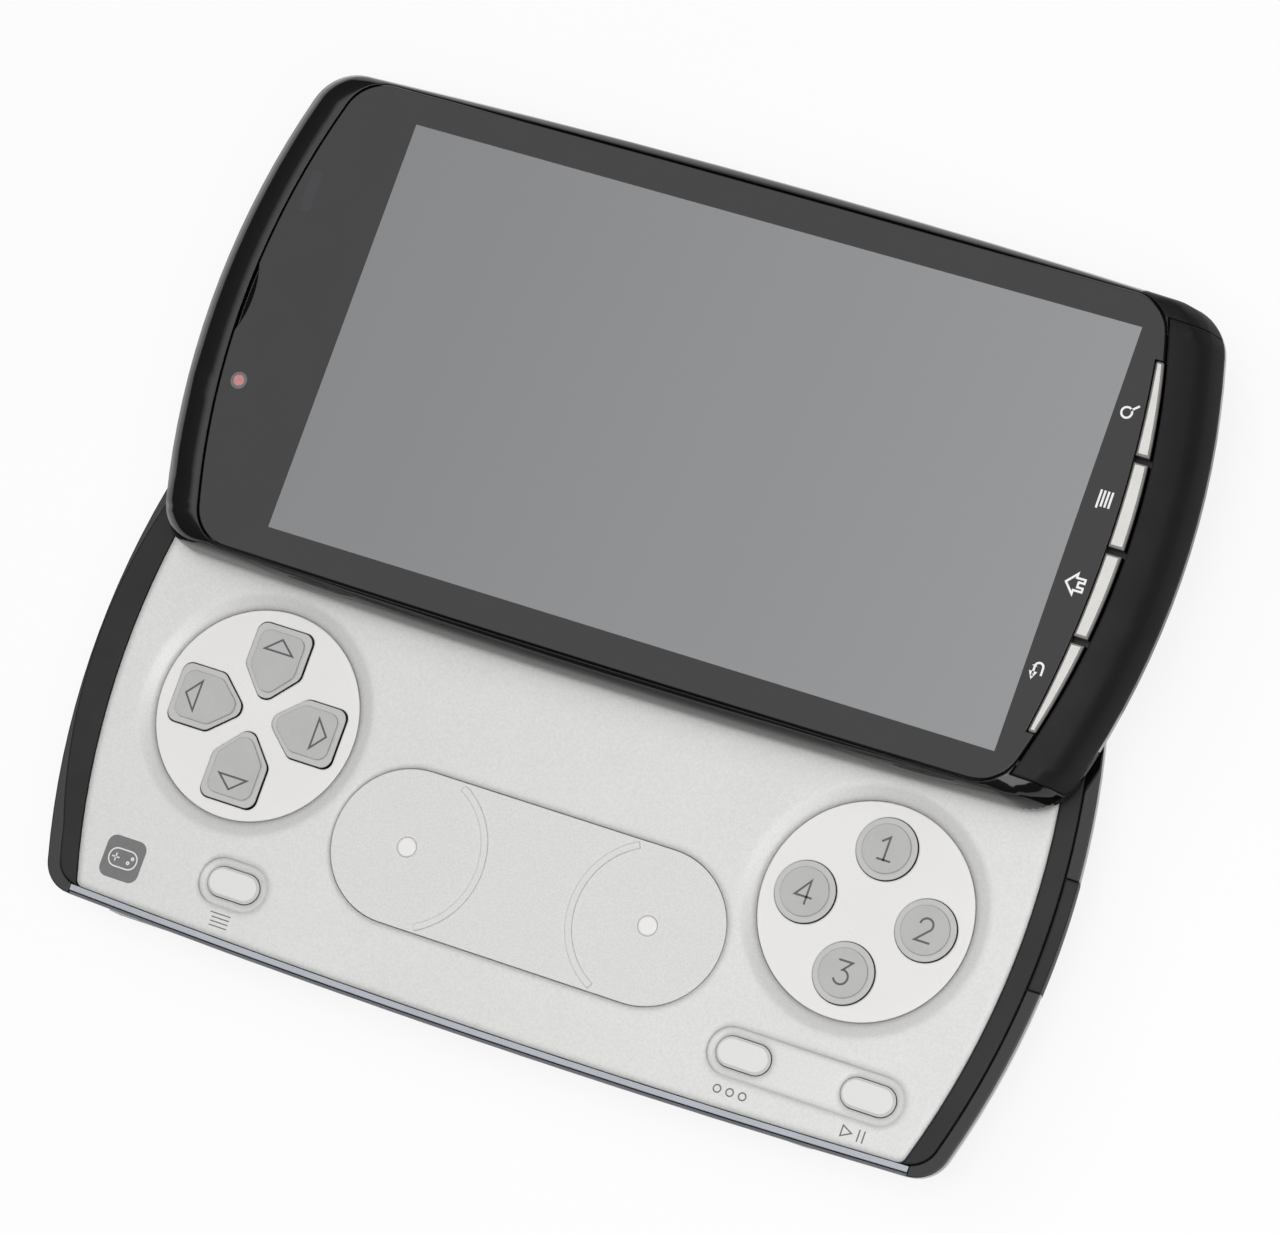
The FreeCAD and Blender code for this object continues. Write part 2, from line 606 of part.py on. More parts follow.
def make_base_frame():
    body = new_body("base_frame")
    loft(body, [base_section(body, angle) for angle in ("split_angle", "frame_fold", "0")])
    rim = new_sketch(body, offset="deck_height")
    add_outline(rim, "half_length", "half_width", "end_round", "side_round", "corner_round")
    pad(body, rim, "rim_top - deck_height")
    inside = new_sketch(body, offset="cover_top")
    add_outline(inside, "frame_inner_x", "frame_inner_y", "end_round", "side_round", "corner_round")
    pocket(body, inside, "deck_under - cover_top", upward=True)
    opening = new_sketch(body, offset="deck_height")
    add_rectangle(opening, "-opening_half_length", "opening_half_length", "wall - frame_inner_y", "deck_edge")
    pocket(body, opening, "deck_thick")
    seat = new_sketch(body, offset="rim_top")
    add_outline(seat, "half_length - rim_width", "plate_half_width + seam", "end_round - rim_width",
                "side_round", "corner_round - wall / 2")
    pocket(body, seat, "rim_top - deck_height")
    left = new_sketch(body, offset="rim_top")
    add_curved_bar(left, "corner_round - plate_half_length", "plate_round", "left_rim - half_length",
                   "left_round", "corner_round - plate_half_width", "plate_half_width - corner_round")
    pocket(body, left, "rim_top - deck_height")
    trim = new_sketch(body, offset="rim_top")
    add_rectangle(trim, "-trim_half_length - seam", "trim_half_length + seam", "-half_width - wall",
                  "corner_round - plate_half_width")
    pocket(body, trim, "rim_top - deck_height")
    insert = new_sketch(body, offset="rim_top")
    add_curved_bar(insert, "half_length - rim_width - seam", "end_round - rim_width", "half_length + wall",
                   None, "-insert_half_length", "insert_half_length")
    pocket(body, insert, "rim_top - insert_under")
    posts = new_sketch(body, offset="board_under")
    for sign_x in ("", "-"):
        for sign_y in ("", "-"):
            x, y = sign_x + "post_x", sign_y + "post_y"
            add_rectangle(posts, x + " - post_width / 2", x + " + post_width / 2", y + " - post_width / 2",
                          y + " + post_width / 2")
    pad(body, posts, "deck_under - board_under")
    sockets = new_sketch(body, "XZ_Plane", "half_width + wall")
    add_circle(sockets, "socket_x", "socket_z", "socket_radius + socket_collar + seam")
    add_rectangle(sockets, "usb_x - usb_width / 2 - seam", "usb_x + usb_width / 2 + seam",
                  "usb_z - usb_height / 2 - seam", "usb_z + usb_height / 2 + seam")
    pocket(body, sockets, "wall * 2 + side_roll")
    keys = new_sketch(body, "XZ_Plane", "-half_width - wall")
    for x in ("trigger_x", "-trigger_x"):
        add_side_key(keys, x, "trigger_length", "trigger_height", "key_gap")
    add_side_key(keys, "0", "volume_length", "volume_height", "key_gap * 2")
    pocket(body, keys, "wall * 2 + side_roll", upward=True)
    power = new_sketch(body, "YZ_Plane", "-half_length - wall")
    add_side_key(power, "power_y", "power_length", "power_height", "key_gap")
    pocket(body, power, "wall * 2 + end_roll", upward=True)
    return keep(body, "base_frame")


def add_side_key(sketch, along, length, height, gap):
    """The end view of a side key, or of the opening it moves in."""
    across = "(%s / 2 + %s)" % (length, gap)
    up = "(%s / 2 + %s)" % (height, gap)
    add_rectangle(sketch, "%s - %s" % (along, across), "%s + %s" % (along, across), "side_key_z - " + up,
                  "side_key_z + " + up)


def make_grip(name, sign):
    """The matt end panel between the control plate and the outer band. The left one reaches
    further out and has a notch."""
    body = new_body(name)
    sketch = new_sketch(body, offset="deck_height")
    add_outline(sketch, "half_length - rim_width - seam", "plate_half_width", "end_round - rim_width",
                "side_round", "corner_round - wall / 2")
    pad(body, sketch, "plate_thick + grip_rise")
    if sign == "-":
        outer = new_sketch(body, offset="deck_height")
        add_curved_bar(outer, "corner_round - plate_half_length", "plate_round",
                       "left_rim + seam - half_length", "left_round",
                       "corner_round + seam - plate_half_width", "plate_half_width - corner_round - seam")
        pad(body, outer, "plate_thick + grip_rise")
        notch = new_sketch(body, offset="plate_top + grip_rise")
        edge = "-(half_length - notch_y ^ 2 / end_round / 2)"
        add_rectangle(notch, edge + " - wall", edge + " + notch_depth", "notch_y - notch_width / 2",
                      "notch_y + notch_width / 2")
        pocket(body, notch, "plate_thick + grip_rise")
    inner = new_sketch(body, offset="plate_top + grip_rise")
    far_x, near_x = "-half_length - wall", "plate_half_length + seam"
    if sign == "-":
        add_curved_bar(inner, "-(%s)" % near_x, "plate_round", "half_length + wall", None,
                       "-half_width - wall", "half_width + wall")
    else:
        add_curved_bar(inner, far_x, None, near_x, "plate_round", "-half_width - wall",
                       "half_width + wall")
    pocket(body, inner, "plate_thick + grip_rise")
    return keep(body, name)


def make_end_insert():
    """The cover in the right end, which follows the frame's curled side."""
    body = new_body("end_insert")
    loft(body, [base_section(body, angle) for angle in ("frame_fold", "0")])
    rim = new_sketch(body, offset="deck_height")
    add_outline(rim, "half_length", "half_width", "end_round", "side_round", "corner_round")
    pad(body, rim, "rim_top - deck_height")
    inner = new_sketch(body, offset="rim_top")
    add_curved_bar(inner, "-half_length - wall", None, "half_length - rim_width", "end_round - rim_width",
                   "-half_width - wall", "half_width + wall")
    pocket(body, inner, "rim_top")
    for low, high in (("-half_width - wall", "seam - insert_half_length"),
                      ("insert_half_length - seam", "half_width + wall")):
        side = new_sketch(body, offset="rim_top")
        add_rectangle(side, "0", "half_length + wall", low, high)
        pocket(body, side, "rim_top")
    return keep(body, "end_insert")


def make_edge_trim():
    """The strip along the near edge, outside the control plate."""
    body = new_body("edge_trim")
    sketch = new_sketch(body, offset="deck_height")
    add_outline(sketch, "half_length", "half_width", "end_round", "side_round", "corner_round")
    pad(body, sketch, "plate_thick - rim_drop")
    plate = new_sketch(body, offset="rim_top")
    add_outline(plate, "half_length + corner_round", "plate_half_width + seam", "end_round", "side_round",
                "corner_round")
    pocket(body, plate, "plate_thick")
    rest = new_sketch(body, offset="rim_top")
    add_rectangle(rest, "-half_length - wall", "half_length + wall", "0",
                  "half_width + wall")
    pocket(body, rest, "plate_thick")
    for low, high in (("-half_length - wall", "-trim_half_length"),
                      ("trim_half_length", "half_length + wall")):
        side = new_sketch(body, offset="rim_top")
        add_rectangle(side, low, high, "-half_width - wall", "0")
        strip = pocket(body, side, "plate_thick")
    middle = value("-plate_half_width - plate_inset / 2")
    level = at_height("rim_top")
    break_edges(body, strip, lambda box, edge: level(box, edge) and box.YMin < middle and box.XLength > 1,
                "trim_break")
    return keep(body, "edge_trim")


# Control deck


def make_gamepad_plate():
    body = new_body("gamepad_plate")
    outline = new_sketch(body, offset="deck_height")
    add_outline(outline, "plate_half_length", "plate_half_width", "plate_round", "side_round", "plate_corner")
    pad(body, outline, "plate_thick")
    recesses = new_sketch(body, offset="plate_top")
    recess_length, recess_width = "pill_length + recess_margin * 2", "pill_width + recess_margin * 2"
    add_pill(recesses, "menu_x", "pill_y", recess_length, recess_width)
    add_pill(recesses, "(select_x + start_x) / 2", "pill_y", "start_x - select_x + " + recess_length,
             recess_width)
    pocket(body, recesses, "recess_depth")
    seat = new_sketch(body, offset="plate_top")
    add_pill(seat, "0", "pad_y", "pad_length", "pad_width")
    pocket(body, seat, "pad_thick + runner_gap")
    openings = new_sketch(body, offset="plate_top")
    for x in ("menu_x", "select_x", "start_x"):
        add_pill(openings, x, "pill_y", "pill_length", "pill_width")
    for x in ("-disc_x", "disc_x"):
        add_circle(openings, x, "disc_y", "disc_radius")
    add_rectangle(openings, "-bracket_half_length - seam", "bracket_half_length + seam",
                  "bracket_y - bracket_width / 2 - seam", "bracket_y + bracket_width / 2 + seam")
    pocket(body, openings, "plate_thick")
    for x in ("-disc_x", "disc_x"):
        dish = body.newObject("PartDesign::SubtractiveCone", "dish")
        plane = [feature for feature in body.Origin.OriginFeatures if feature.Role == "XY_Plane"][0]
        dish.AttachmentSupport = [(plane, "")]
        dish.MapMode = "FlatFace"
        for axis, place in zip("xyz", (x, "disc_y", "disc_top")):
            dish.setExpression("AttachmentOffset.Base." + axis, bound(place))
        dish.setExpression("Radius1", bound("disc_radius"))
        dish.setExpression("Radius2", bound("disc_radius + dish_width"))
        dish.setExpression("Height", bound("dish_depth"))
        body.Tip = dish
    return keep(body, "gamepad_plate")


def set_place(item, x, y, angle=0):
    """Place a piece that is modelled about its own middle."""
    turn = FreeCAD.Rotation(FreeCAD.Vector(0, 0, 1), angle)
    item.Placement = FreeCAD.Placement(FreeCAD.Vector(), turn)
    item.setExpression("Placement.Base.x", bound(x))
    item.setExpression("Placement.Base.y", bound(y))


def add_petal(sketch, gap, x="0", y="0", turns=0):
    """A direction key's outline: straight sides that taper to a point at the disc's middle. It
    points along +Y, or is turned by quarter turns about the point x, y."""
    half = "petal_width / 2 + " + gap
    corners = [("-(%s)" % half, "petal_end + " + gap), ("-(%s)" % half, "petal_shoulder"),
               ("-petal_corner / 2", "petal_tip - " + gap), ("petal_corner / 2", "petal_tip - " + gap),
               (half, "petal_shoulder"), (half, "petal_end + " + gap)]
    for turn in range(turns):
        corners = [("-(%s)" % along, across) for across, along in corners]
    add_polygon(sketch, [("%s + (%s)" % (x, across), "%s + (%s)" % (y, along)) for across, along in corners])


def add_foot(body, along):
    """The stem below a key that presses its dome."""
    foot = new_sketch(body, offset="key_foot")
    add_rectangle(foot, "-foot_width / 2", "foot_width / 2", along + " - foot_width / 2",
                  along + " + foot_width / 2")
    pad(body, foot, "carrier_under - key_foot")


def add_cap(body, add_shape, corners=None):
    """A key cap of two steps: a lower rim and a raised middle."""
    steps = (("flange_top", "disc_top + key_rise - cap_step", "key_gap"),
             ("disc_top + key_rise - cap_step", "disc_top + key_rise", "key_gap + cap_rim"))
    for bottom, top, inset in steps:
        outline = new_sketch(body, offset=bottom)
        add_shape(outline, inset)
        cap = pad(body, outline, "%s - (%s)" % (top, bottom))
        if corners:
            low = value(bottom) - 1e-3
            break_edges(body, cap, lambda box, edge: upright(box, edge) and box.ZMin > low, corners, "Fillet")


def make_direction_key(name, angle):
    body = new_body(name)
    add_cap(body, lambda outline, inset: add_petal(outline, "-(%s)" % inset), "petal_corner")
    flange = new_sketch(body, offset="carrier_under")
    add_rectangle(flange, "-petal_width / 2 - edge_break", "petal_width / 2 + edge_break",
                  "petal_shoulder", "petal_end + edge_break")
    pad(body, flange, "carrier_thick - key_gap")
    add_foot(body, "button_pitch")
    set_place(body, "-disc_x", "disc_y", angle)
    return keep(body, name)


def add_octagon(sketch, x, y, reach):
    """An octagon with flats at a distance from its middle."""
    far, near = "(%s)" % reach, "(%s) * (sqrt(2) - 1)" % reach
    quarter = [(far, near), (near, far)]
    steps = []
    for sign_x, sign_y in ("++", "-+", "--", "+-"):
        pair = quarter if sign_x == sign_y else quarter[::-1]
        steps += [(sign_x + across, sign_y + along) for across, along in pair]
    add_polygon(sketch, [(x + across, y + along) for across, along in steps])


def make_number_key(name, angle):
    body = new_body(name)
    add_cap(body, lambda outline, inset: add_circle(outline, "0", "button_pitch",
                                                    "button_radius - (%s)" % inset))
    flange = new_sketch(body, offset="carrier_under")
    add_octagon(flange, "0", "button_pitch", "button_radius + edge_break")
    pad(body, flange, "carrier_thick - key_gap")
    add_foot(body, "button_pitch")
    set_place(body, "disc_x", "disc_y", angle)
    return keep(body, name)


def make_pill_key(name, x):
    body = new_body(name)
    cap = new_sketch(body, offset="flange_top")
    add_pill(cap, "0", "0", "pill_length - key_gap * 2", "pill_width - key_gap * 2")
    top = pad(body, cap, "plate_top - flange_top")
    break_edges(body, top, at_height("plate_top"), "edge_break")
    flange = new_sketch(body, offset="carrier_under")
    add_rectangle(flange, "-pill_length / 2 - edge_break", "pill_length / 2 + edge_break",
                  "-pill_width / 2 - edge_break", "pill_width / 2 + edge_break")
    pad(body, flange, "carrier_thick - key_gap")
    add_foot(body, "0")
    set_place(body, x, "pill_y")
    return keep(body, name)


def make_disc(name, x, petals):
    """A key disc with four openings. It lies in its hole in the control plate."""
    body = new_body(name)
    disc = new_sketch(body, offset="disc_under")
    add_circle(disc, "0", "0", "disc_radius - seam")
    pad(body, disc, "disc_thick")
    opening = new_sketch(body, offset="disc_top")
    if petals:
        add_petal(opening, "key_gap / 2")
    else:
        add_circle(opening, "0", "button_pitch", "button_radius")
    first = pocket(body, opening, "disc_thick")
    document.recompute()
    pattern = body.newObject("PartDesign::PolarPattern", name + "_pattern")
    pattern.Originals = [first]
    axis = [feature for feature in body.Origin.OriginFeatures if feature.Role == "Z_Axis"][0]
    pattern.Axis = (axis, [""])
    pattern.Angle = 360
    pattern.Occurrences = 4
    body.Tip = pattern
    if petals:
        edge_of_disc = value("disc_radius - seam") - 1e-3
        break_edges(body, pattern, lambda box, edge: upright(box, edge)
                    and math.hypot(box.XMin, box.YMin) < edge_of_disc, "petal_corner", "Fillet")
    set_place(body, x, "disc_y")
    return keep(body, name)


def make_key_carrier():
    """The plate below the control plate that guides the flanges of the deck keys."""
    body = new_body("key_carrier")
    plate = new_sketch(body, offset="carrier_under")
    add_rectangle(plate, "seam - opening_half_length", "opening_half_length - seam",
                  "wall + seam - frame_inner_y", "deck_edge - seam")
    pad(body, plate, "carrier_thick")
    holes = new_sketch(body, offset="deck_height")
    for turns in range(4):
        add_petal(holes, "edge_break + key_gap * 2", "-disc_x", "disc_y", turns)
    for sign in ("+", "-"):
        add_octagon(holes, "disc_x %s button_pitch" % sign, "disc_y", "button_radius + edge_break + key_gap")
        add_octagon(holes, "disc_x", "disc_y %s button_pitch" % sign, "button_radius + edge_break + key_gap")
    for x in ("menu_x", "select_x", "start_x"):
        margin = "/ 2 + edge_break + key_gap"
        add_rectangle(holes, "%s - (pill_length %s)" % (x, margin), "%s + pill_length %s" % (x, margin),
                      "pill_y - (pill_width %s)" % margin, "pill_y + pill_width %s" % margin)
    pocket(body, holes, "carrier_thick")
    return keep(body, "key_carrier")


def make_touchpad():
    """The touch pad with a raised arc round each of its two centre marks."""
    body = new_body("touchpad")
    under = "plate_top - pad_thick - runner_gap"
    pill = new_sketch(body, offset=under)
    add_pill(pill, "0", "pad_y", "pad_length - seam * 2", "pad_width - seam * 2")
    pad(body, pill, "pad_thick")
    for sign in ("-", "+"):
        ridge = new_sketch(body, "XZ_Plane", "-pad_y")
        back = "+" if sign == "-" else "-"
        near = "%sdot_x %s (ridge_radius - ridge_width / 2)" % (sign, back)
        far = "%sdot_x %s (ridge_radius + ridge_width / 2)" % (sign, back)
        low_x, high_x = (near, far) if sign == "-" else (far, near)
        add_rectangle(ridge, low_x, high_x, under, under + " + pad_thick + ridge_rise")
        foot = FreeCAD.Vector(value(sign + "dot_x"), 0, 0)
        axis = ridge.addGeometry(Part.LineSegment(foot, foot + FreeCAD.Vector(0, 1, 0)), True)
        ridge.addConstraint(Sketcher.Constraint("Vertical", axis))
        place_point(ridge, axis, 1, sign + "dot_x", "0")
        sweep = body.newObject("PartDesign::Revolution", "ridge")
        sweep.Profile = ridge
        sweep.ReferenceAxis = (ridge, ["Axis0"])
        sweep.setExpression("Angle", bound("ridge_angle * 2"))
        sweep.Midplane = True
        body.Tip = sweep
    return keep(body, "touchpad")


# Inside the base half


def make_chassis():
    """The plate between the battery and the main board, with the walls of the battery bay."""
    body = new_body("chassis")
    plate = new_sketch(body, offset="chassis_under")
    add_outline(plate, "frame_inner_x - chassis_margin", "frame_inner_y - chassis_margin", "end_round",
                "side_round", "corner_round")
    pad(body, plate, "chassis_thick")
    bay = new_sketch(body, offset="cover_floor + battery_gap")
    inner = ("battery_length / 2 + battery_gap", "battery_width / 2 + battery_gap")
    outer = tuple(reach + " + bay_wall" for reach in inner)
    for x, y in (inner, outer):
        add_rectangle(bay, "-(%s)" % x, x, "-(%s)" % y, y)
    pad(body, bay, "chassis_under - cover_floor - battery_gap")
    holes = new_sketch(body, offset="board_under")
    add_rectangle(holes, "socket_x - socket_body / 2 - seam", "socket_x + socket_body / 2 + seam",
                  "-half_width", "socket_length + seam - frame_inner_y")
    add_rectangle(holes, "-half_length", "flange_thick + key_gap + trigger_travel + seam - power_face",
                  "power_y - power_length / 2 - flange_margin - seam",
                  "power_y + power_length / 2 + flange_margin + seam")
    pocket(body, holes, "chassis_thick")
    return keep(body, "chassis")


def make_battery():
    low = ("-battery_length / 2", "-battery_width / 2", "cover_floor + battery_gap")
    high = ("battery_length / 2", "battery_width / 2", "cover_floor + battery_gap + battery_thick")
    pack = block(low, high, "battery_block")
    edges = document.addObject("Part::Fillet", "battery_fillet")
    edges.Base = pack
    document.recompute()
    rounding = value("battery_corner")
    upright_edges = [i + 1 for i, edge in enumerate(pack.Shape.Edges) if upright(edge.BoundBox, edge)]
    edges.Edges = [(i, rounding, rounding) for i in upright_edges]
    return keep(edges, "battery")


def make_main_board():
    low = ("-board_half_length", "-board_half_width", "board_under")
    high = ("board_half_length", "board_half_width", "board_top")
    notch = block(("socket_x - socket_body / 2 - seam", "-half_width", "board_under - seam"),
                  ("socket_x + socket_body / 2 + seam", "socket_length + seam - frame_inner_y",
                   "board_top + seam"))
    return keep(cut(block(low, high, "board_block"), [notch], "board_cut"), "main_board")


def make_shields():
    """Pressed cans over the chips, on the part of the board that lies under the deck sheet."""
    cans = []
    pitch = "(2 * (board_half_length - shield_inset) + shield_gap) / 3"
    for can in range(3):
        low_x = "shield_inset - board_half_length + %s * %d" % (pitch, can)
        low = (low_x, "deck_edge + wall", "board_top")
        high = ("%s + %s - shield_gap" % (low_x, pitch), "board_half_width - switch_depth - wall",
                "deck_under - seam")
        cans.append(block(low, high))
    return keep(group(cans, "shield_group"), "shield_cans")


def make_key_switches():
    """A key dome on the main board under the foot of every deck key."""
    places = [("-disc_x", "disc_y + button_pitch"), ("-disc_x", "disc_y - button_pitch"),
              ("-disc_x + button_pitch", "disc_y"), ("-disc_x - button_pitch", "disc_y"),
              ("disc_x", "disc_y + button_pitch"), ("disc_x", "disc_y - button_pitch"),
              ("disc_x + button_pitch", "disc_y"), ("disc_x - button_pitch", "disc_y"),
              ("menu_x", "pill_y"), ("select_x", "pill_y"), ("start_x", "pill_y")]
    domes = []
    for x, y in places:
        low = ("%s - dome_width / 2" % x, "%s - dome_width / 2" % y, "board_top")
        high = ("%s + dome_width / 2" % x, "%s + dome_width / 2" % y, "dome_top")
        domes.append(block(low, high))
    return keep(group(domes, "dome_group"), "key_domes")


def make_rear_camera():
    low = ("camera_x - camera_body / 2", "-camera_body / 2", "cover_floor + seam")
    high = ("camera_x + camera_body / 2", "camera_body / 2", "chassis_under")
    return keep(block(low, high, "camera_block"), "rear_camera")


def make_camera_window():
    window = rod(("camera_x", "0", "seam"), "camera_radius", "window_thick", label="window_disc")
    return keep(window, "camera_window")


def make_flash():
    lens = rod(("camera_x", "flash_y", "seam"), "flash_radius", "cover_floor", label="flash_lens")
    carrier = block(("camera_x - flash_radius", "flash_y - flash_radius", "cover_floor + seam"),
                    ("camera_x + flash_radius", "flash_y + flash_radius", "chassis_under"))
    return keep(fuse([lens, carrier], "flash_fuse"), "flash_lamp")


def make_speaker(name, sign):
    """A loudspeaker hung below the chassis, close to one end."""
    near, far = "speaker_reach - speaker_width", "speaker_reach"
    low_x, high_x = (near, far) if sign > 0 else ("-(%s)" % far, "-(%s)" % near)
    low = (low_x, "-speaker_length / 2", "chassis_under - speaker_thick")
    return keep(block(low, (high_x, "speaker_length / 2", "chassis_under"), name), name)


def make_motor():
    height = "chassis_under - motor_radius"
    can = rod(("half_length - motor_inset", "deck_edge - motor_lap", height), "motor_radius", "motor_length",
              "y", "motor_can")
    return keep(can, "vibration_motor")


def make_card_holder():
    near = "(battery_length / 2 + bay_wall + wall)"
    high = ("-" + near, "-camera_body / 2 - wall", "chassis_under")
    low = ("-%s - holder_length" % near, high[1] + " - holder_width", "chassis_under - holder_thick")
    return keep(block(low, high, "holder_block"), "card_holder")


def make_headphone_socket():
    """A square body with a round collar that reaches the outside, bored along Y."""
    back = "frame_inner_y - socket_length"
    front_y = "seam * 2 + socket_x ^ 2 / side_round / 2 - frame_inner_y"
    low = ("socket_x - socket_body / 2", front_y, "socket_z - socket_body / 2")
    high = ("socket_x + socket_body / 2", "-(%s)" % back, "socket_z + socket_body / 2")
    collar = rod(("socket_x", front_y, "socket_z"), "socket_radius + socket_collar",
                 "half_width - mouth_inset + " + front_y, "-y", "socket_collar_rod")
    bore = rod(("socket_x", "-half_width", "socket_z"), "socket_radius",
               "half_width - (%s) - wall" % back, "y", "socket_bore")
    return keep(cut(fuse([block(low, high), collar]), [bore], "socket_cut"), "headphone_socket")


def make_usb_socket():
    """A rectangular metal shell open to the near side, with its contact tongue."""
    mouth = "mouth_inset - half_width"
    back = "mouth_inset - half_width + usb_length"
    shell = block(("usb_x - usb_width / 2", mouth, "usb_z - usb_height / 2"),
                  ("usb_x + usb_width / 2", back, "usb_z + usb_height / 2"))
    half, rise = "(usb_width / 2 - usb_wall)", "(usb_height / 2 - usb_wall)"
    inside = block(("usb_x - " + half, mouth + " - wall", "usb_z - " + rise),
                   ("usb_x + " + half, back + " - usb_wall", "usb_z + " + rise))
    tongue = block(("usb_x - tongue_width / 2", mouth + " + wall", "usb_z + seam"),
                   ("usb_x + tongue_width / 2", back + " - usb_wall / 2", "usb_z + seam + tongue_thick"))
    return keep(fuse([cut(shell, [inside]), tongue], "usb_fuse"), "usb_socket")


# Keys on the sides of the base half


def side_key(name, role, along, length, height, wall_face, outer_face, gap="key_gap"):
    """A key in a side wall: its cap passes through the wall and a flange behind holds it. The
    faces are distances from the middle of the phone, against the sketch plane's normal."""
    body = new_body(name)
    flange = new_sketch(body, role, "flange_thick + %s - %s" % (gap, wall_face))
    add_rectangle(flange, "%s - %s / 2 - flange_margin" % (along, length),
                  "%s + %s / 2 + flange_margin" % (along, length),
                  "side_key_z - (%s + flange_margin) / 2" % height,
                  "side_key_z + (%s + flange_margin) / 2" % height)
    pad(body, flange, "flange_thick").Reversed = True
    cap = new_sketch(body, role, "%s - %s" % (gap, wall_face))
    add_side_key(cap, along, length, height, "0")
    pad(body, cap, "%s - %s + %s" % (outer_face, wall_face, gap)).Reversed = True
    return keep(body, name)


def make_side_keys():
    """Two shoulder keys and the volume rocker on the far long side, the power key in the left end."""
    outer = "half_width + side_key_rise"
    for name, x in (("trigger_left", "-trigger_x"), ("trigger_right", "trigger_x")):
        side_key(name, "XZ_Plane", x, "trigger_length", "trigger_height", "trigger_face",
                 outer + " - trigger_x ^ 2 / side_round / 2")
    rocker = side_key("volume_rocker", "XZ_Plane", "0", "volume_length", "volume_height", "volume_face",
                      outer, "rocker_gap")
    pivot = new_sketch(rocker, offset="side_key_z - (volume_height + flange_margin) / 2")
    add_circle(pivot, "0", "volume_face - seam / 2 - pivot_radius", "pivot_radius")
    pad(rocker, pivot, "volume_height + flange_margin")
    side_key("power_key", "YZ_Plane", "power_y", "power_length", "power_height", "power_face",
             "half_length + power_rise - power_y ^ 2 / end_round / 2")


def make_side_switches():
    """A small switch on the board's edge behind every side key."""
    switches = []
    for x, face, gap in (("-trigger_x", "trigger_face", "key_gap"), ("trigger_x", "trigger_face", "key_gap"),
                         ("-volume_length / 3", "volume_face", "rocker_gap"),
                         ("volume_length / 3", "volume_face", "rocker_gap")):
        low = ("%s - dome_width / 2" % x, "board_half_width - switch_depth", "board_top")
        high = ("%s + dome_width / 2" % x, "%s - flange_thick - %s - trigger_travel - seam" % (face, gap),
                "side_key_z + trigger_height / 2")
        switches.append(block(low, high))
    return keep(group(switches, "switch_group"), "side_switches")


# Slide


def make_slide_bracket():
    """The fixed sheet on the base's deck, with two legs that reach into the tray's slots."""
    sheet = block(("-bracket_half_length", "bracket_y - bracket_width / 2", "deck_height"),
                  ("bracket_half_length", "bracket_y + bracket_width / 2", "deck_height + bracket_thick"))
    legs = []
    for x in ("-rail_x", "rail_x"):
        legs.append(block((x + " - leg_width / 2", "bracket_y - runner_length / 2", "deck_height"),
                          (x + " + leg_width / 2", "bracket_y + runner_length / 2", "runner_bottom")))
    return keep(fuse([sheet] + legs, "bracket_fuse"), "slide_bracket")


def make_runner(name, x):
    """A low-friction block on the end of a bracket leg, which runs inside a rail."""
    body = new_body(name)
    outline = new_sketch(body, offset="runner_bottom")
    add_rectangle(outline, x + " - runner_width / 2", x + " + runner_width / 2",
                  "bracket_y - runner_length / 2", "bracket_y + runner_length / 2")
    top = pad(body, outline, "runner_height")
    break_edges(body, top, upright, "edge_break")
    return keep(body, name)


def make_rail_plate():
    """The moving sheet above the tray floor, folded into a C-shaped rail at each side."""
    body = new_body("rail_plate")
    outside = "runner_width / 2 + runner_gap + rail_sheet"
    profile = new_sketch(body, "XZ_Plane", "-(slot_reach)")
    for x in ("-rail_x", "rail_x"):
        half, inner, slot = outside, "runner_width / 2 + runner_gap", "slot_width / 2"
        corners = [("-(%s)" % half, "floor_top"), ("-(%s)" % slot, "floor_top"),
                   ("-(%s)" % slot, "floor_top + rail_sheet"), ("-(%s)" % inner, "floor_top + rail_sheet"),
                   ("-(%s)" % inner, "rail_under"), (inner, "rail_under"), (inner, "floor_top + rail_sheet"),
                   (slot, "floor_top + rail_sheet"), (slot, "floor_top"), (half, "floor_top"),
                   (half, "rail_under + rail_sheet"), ("-(%s)" % half, "rail_under + rail_sheet")]
        add_polygon(profile, [(x + " + " + across, height) for across, height in corners])
    rails = pad(body, profile, "slot_reach * 2")
    rails.Reversed = False
    sheet = new_sketch(body, offset="rail_under")
    add_rectangle(sheet, "-rail_x - runner_width / 2", "rail_x + runner_width / 2", "-slot_reach",
                  "slot_reach")
    pad(body, sheet, "rail_sheet")
    body.setExpression("Placement.Base.y", bound("travel"))
    return keep(body, "rail_plate")


# Screen half, modelled about its own middle and placed at the open end of the slide


def on_screen(body, name):
    body.setExpression("Placement.Base.y", bound("travel"))
    return keep(body, name)


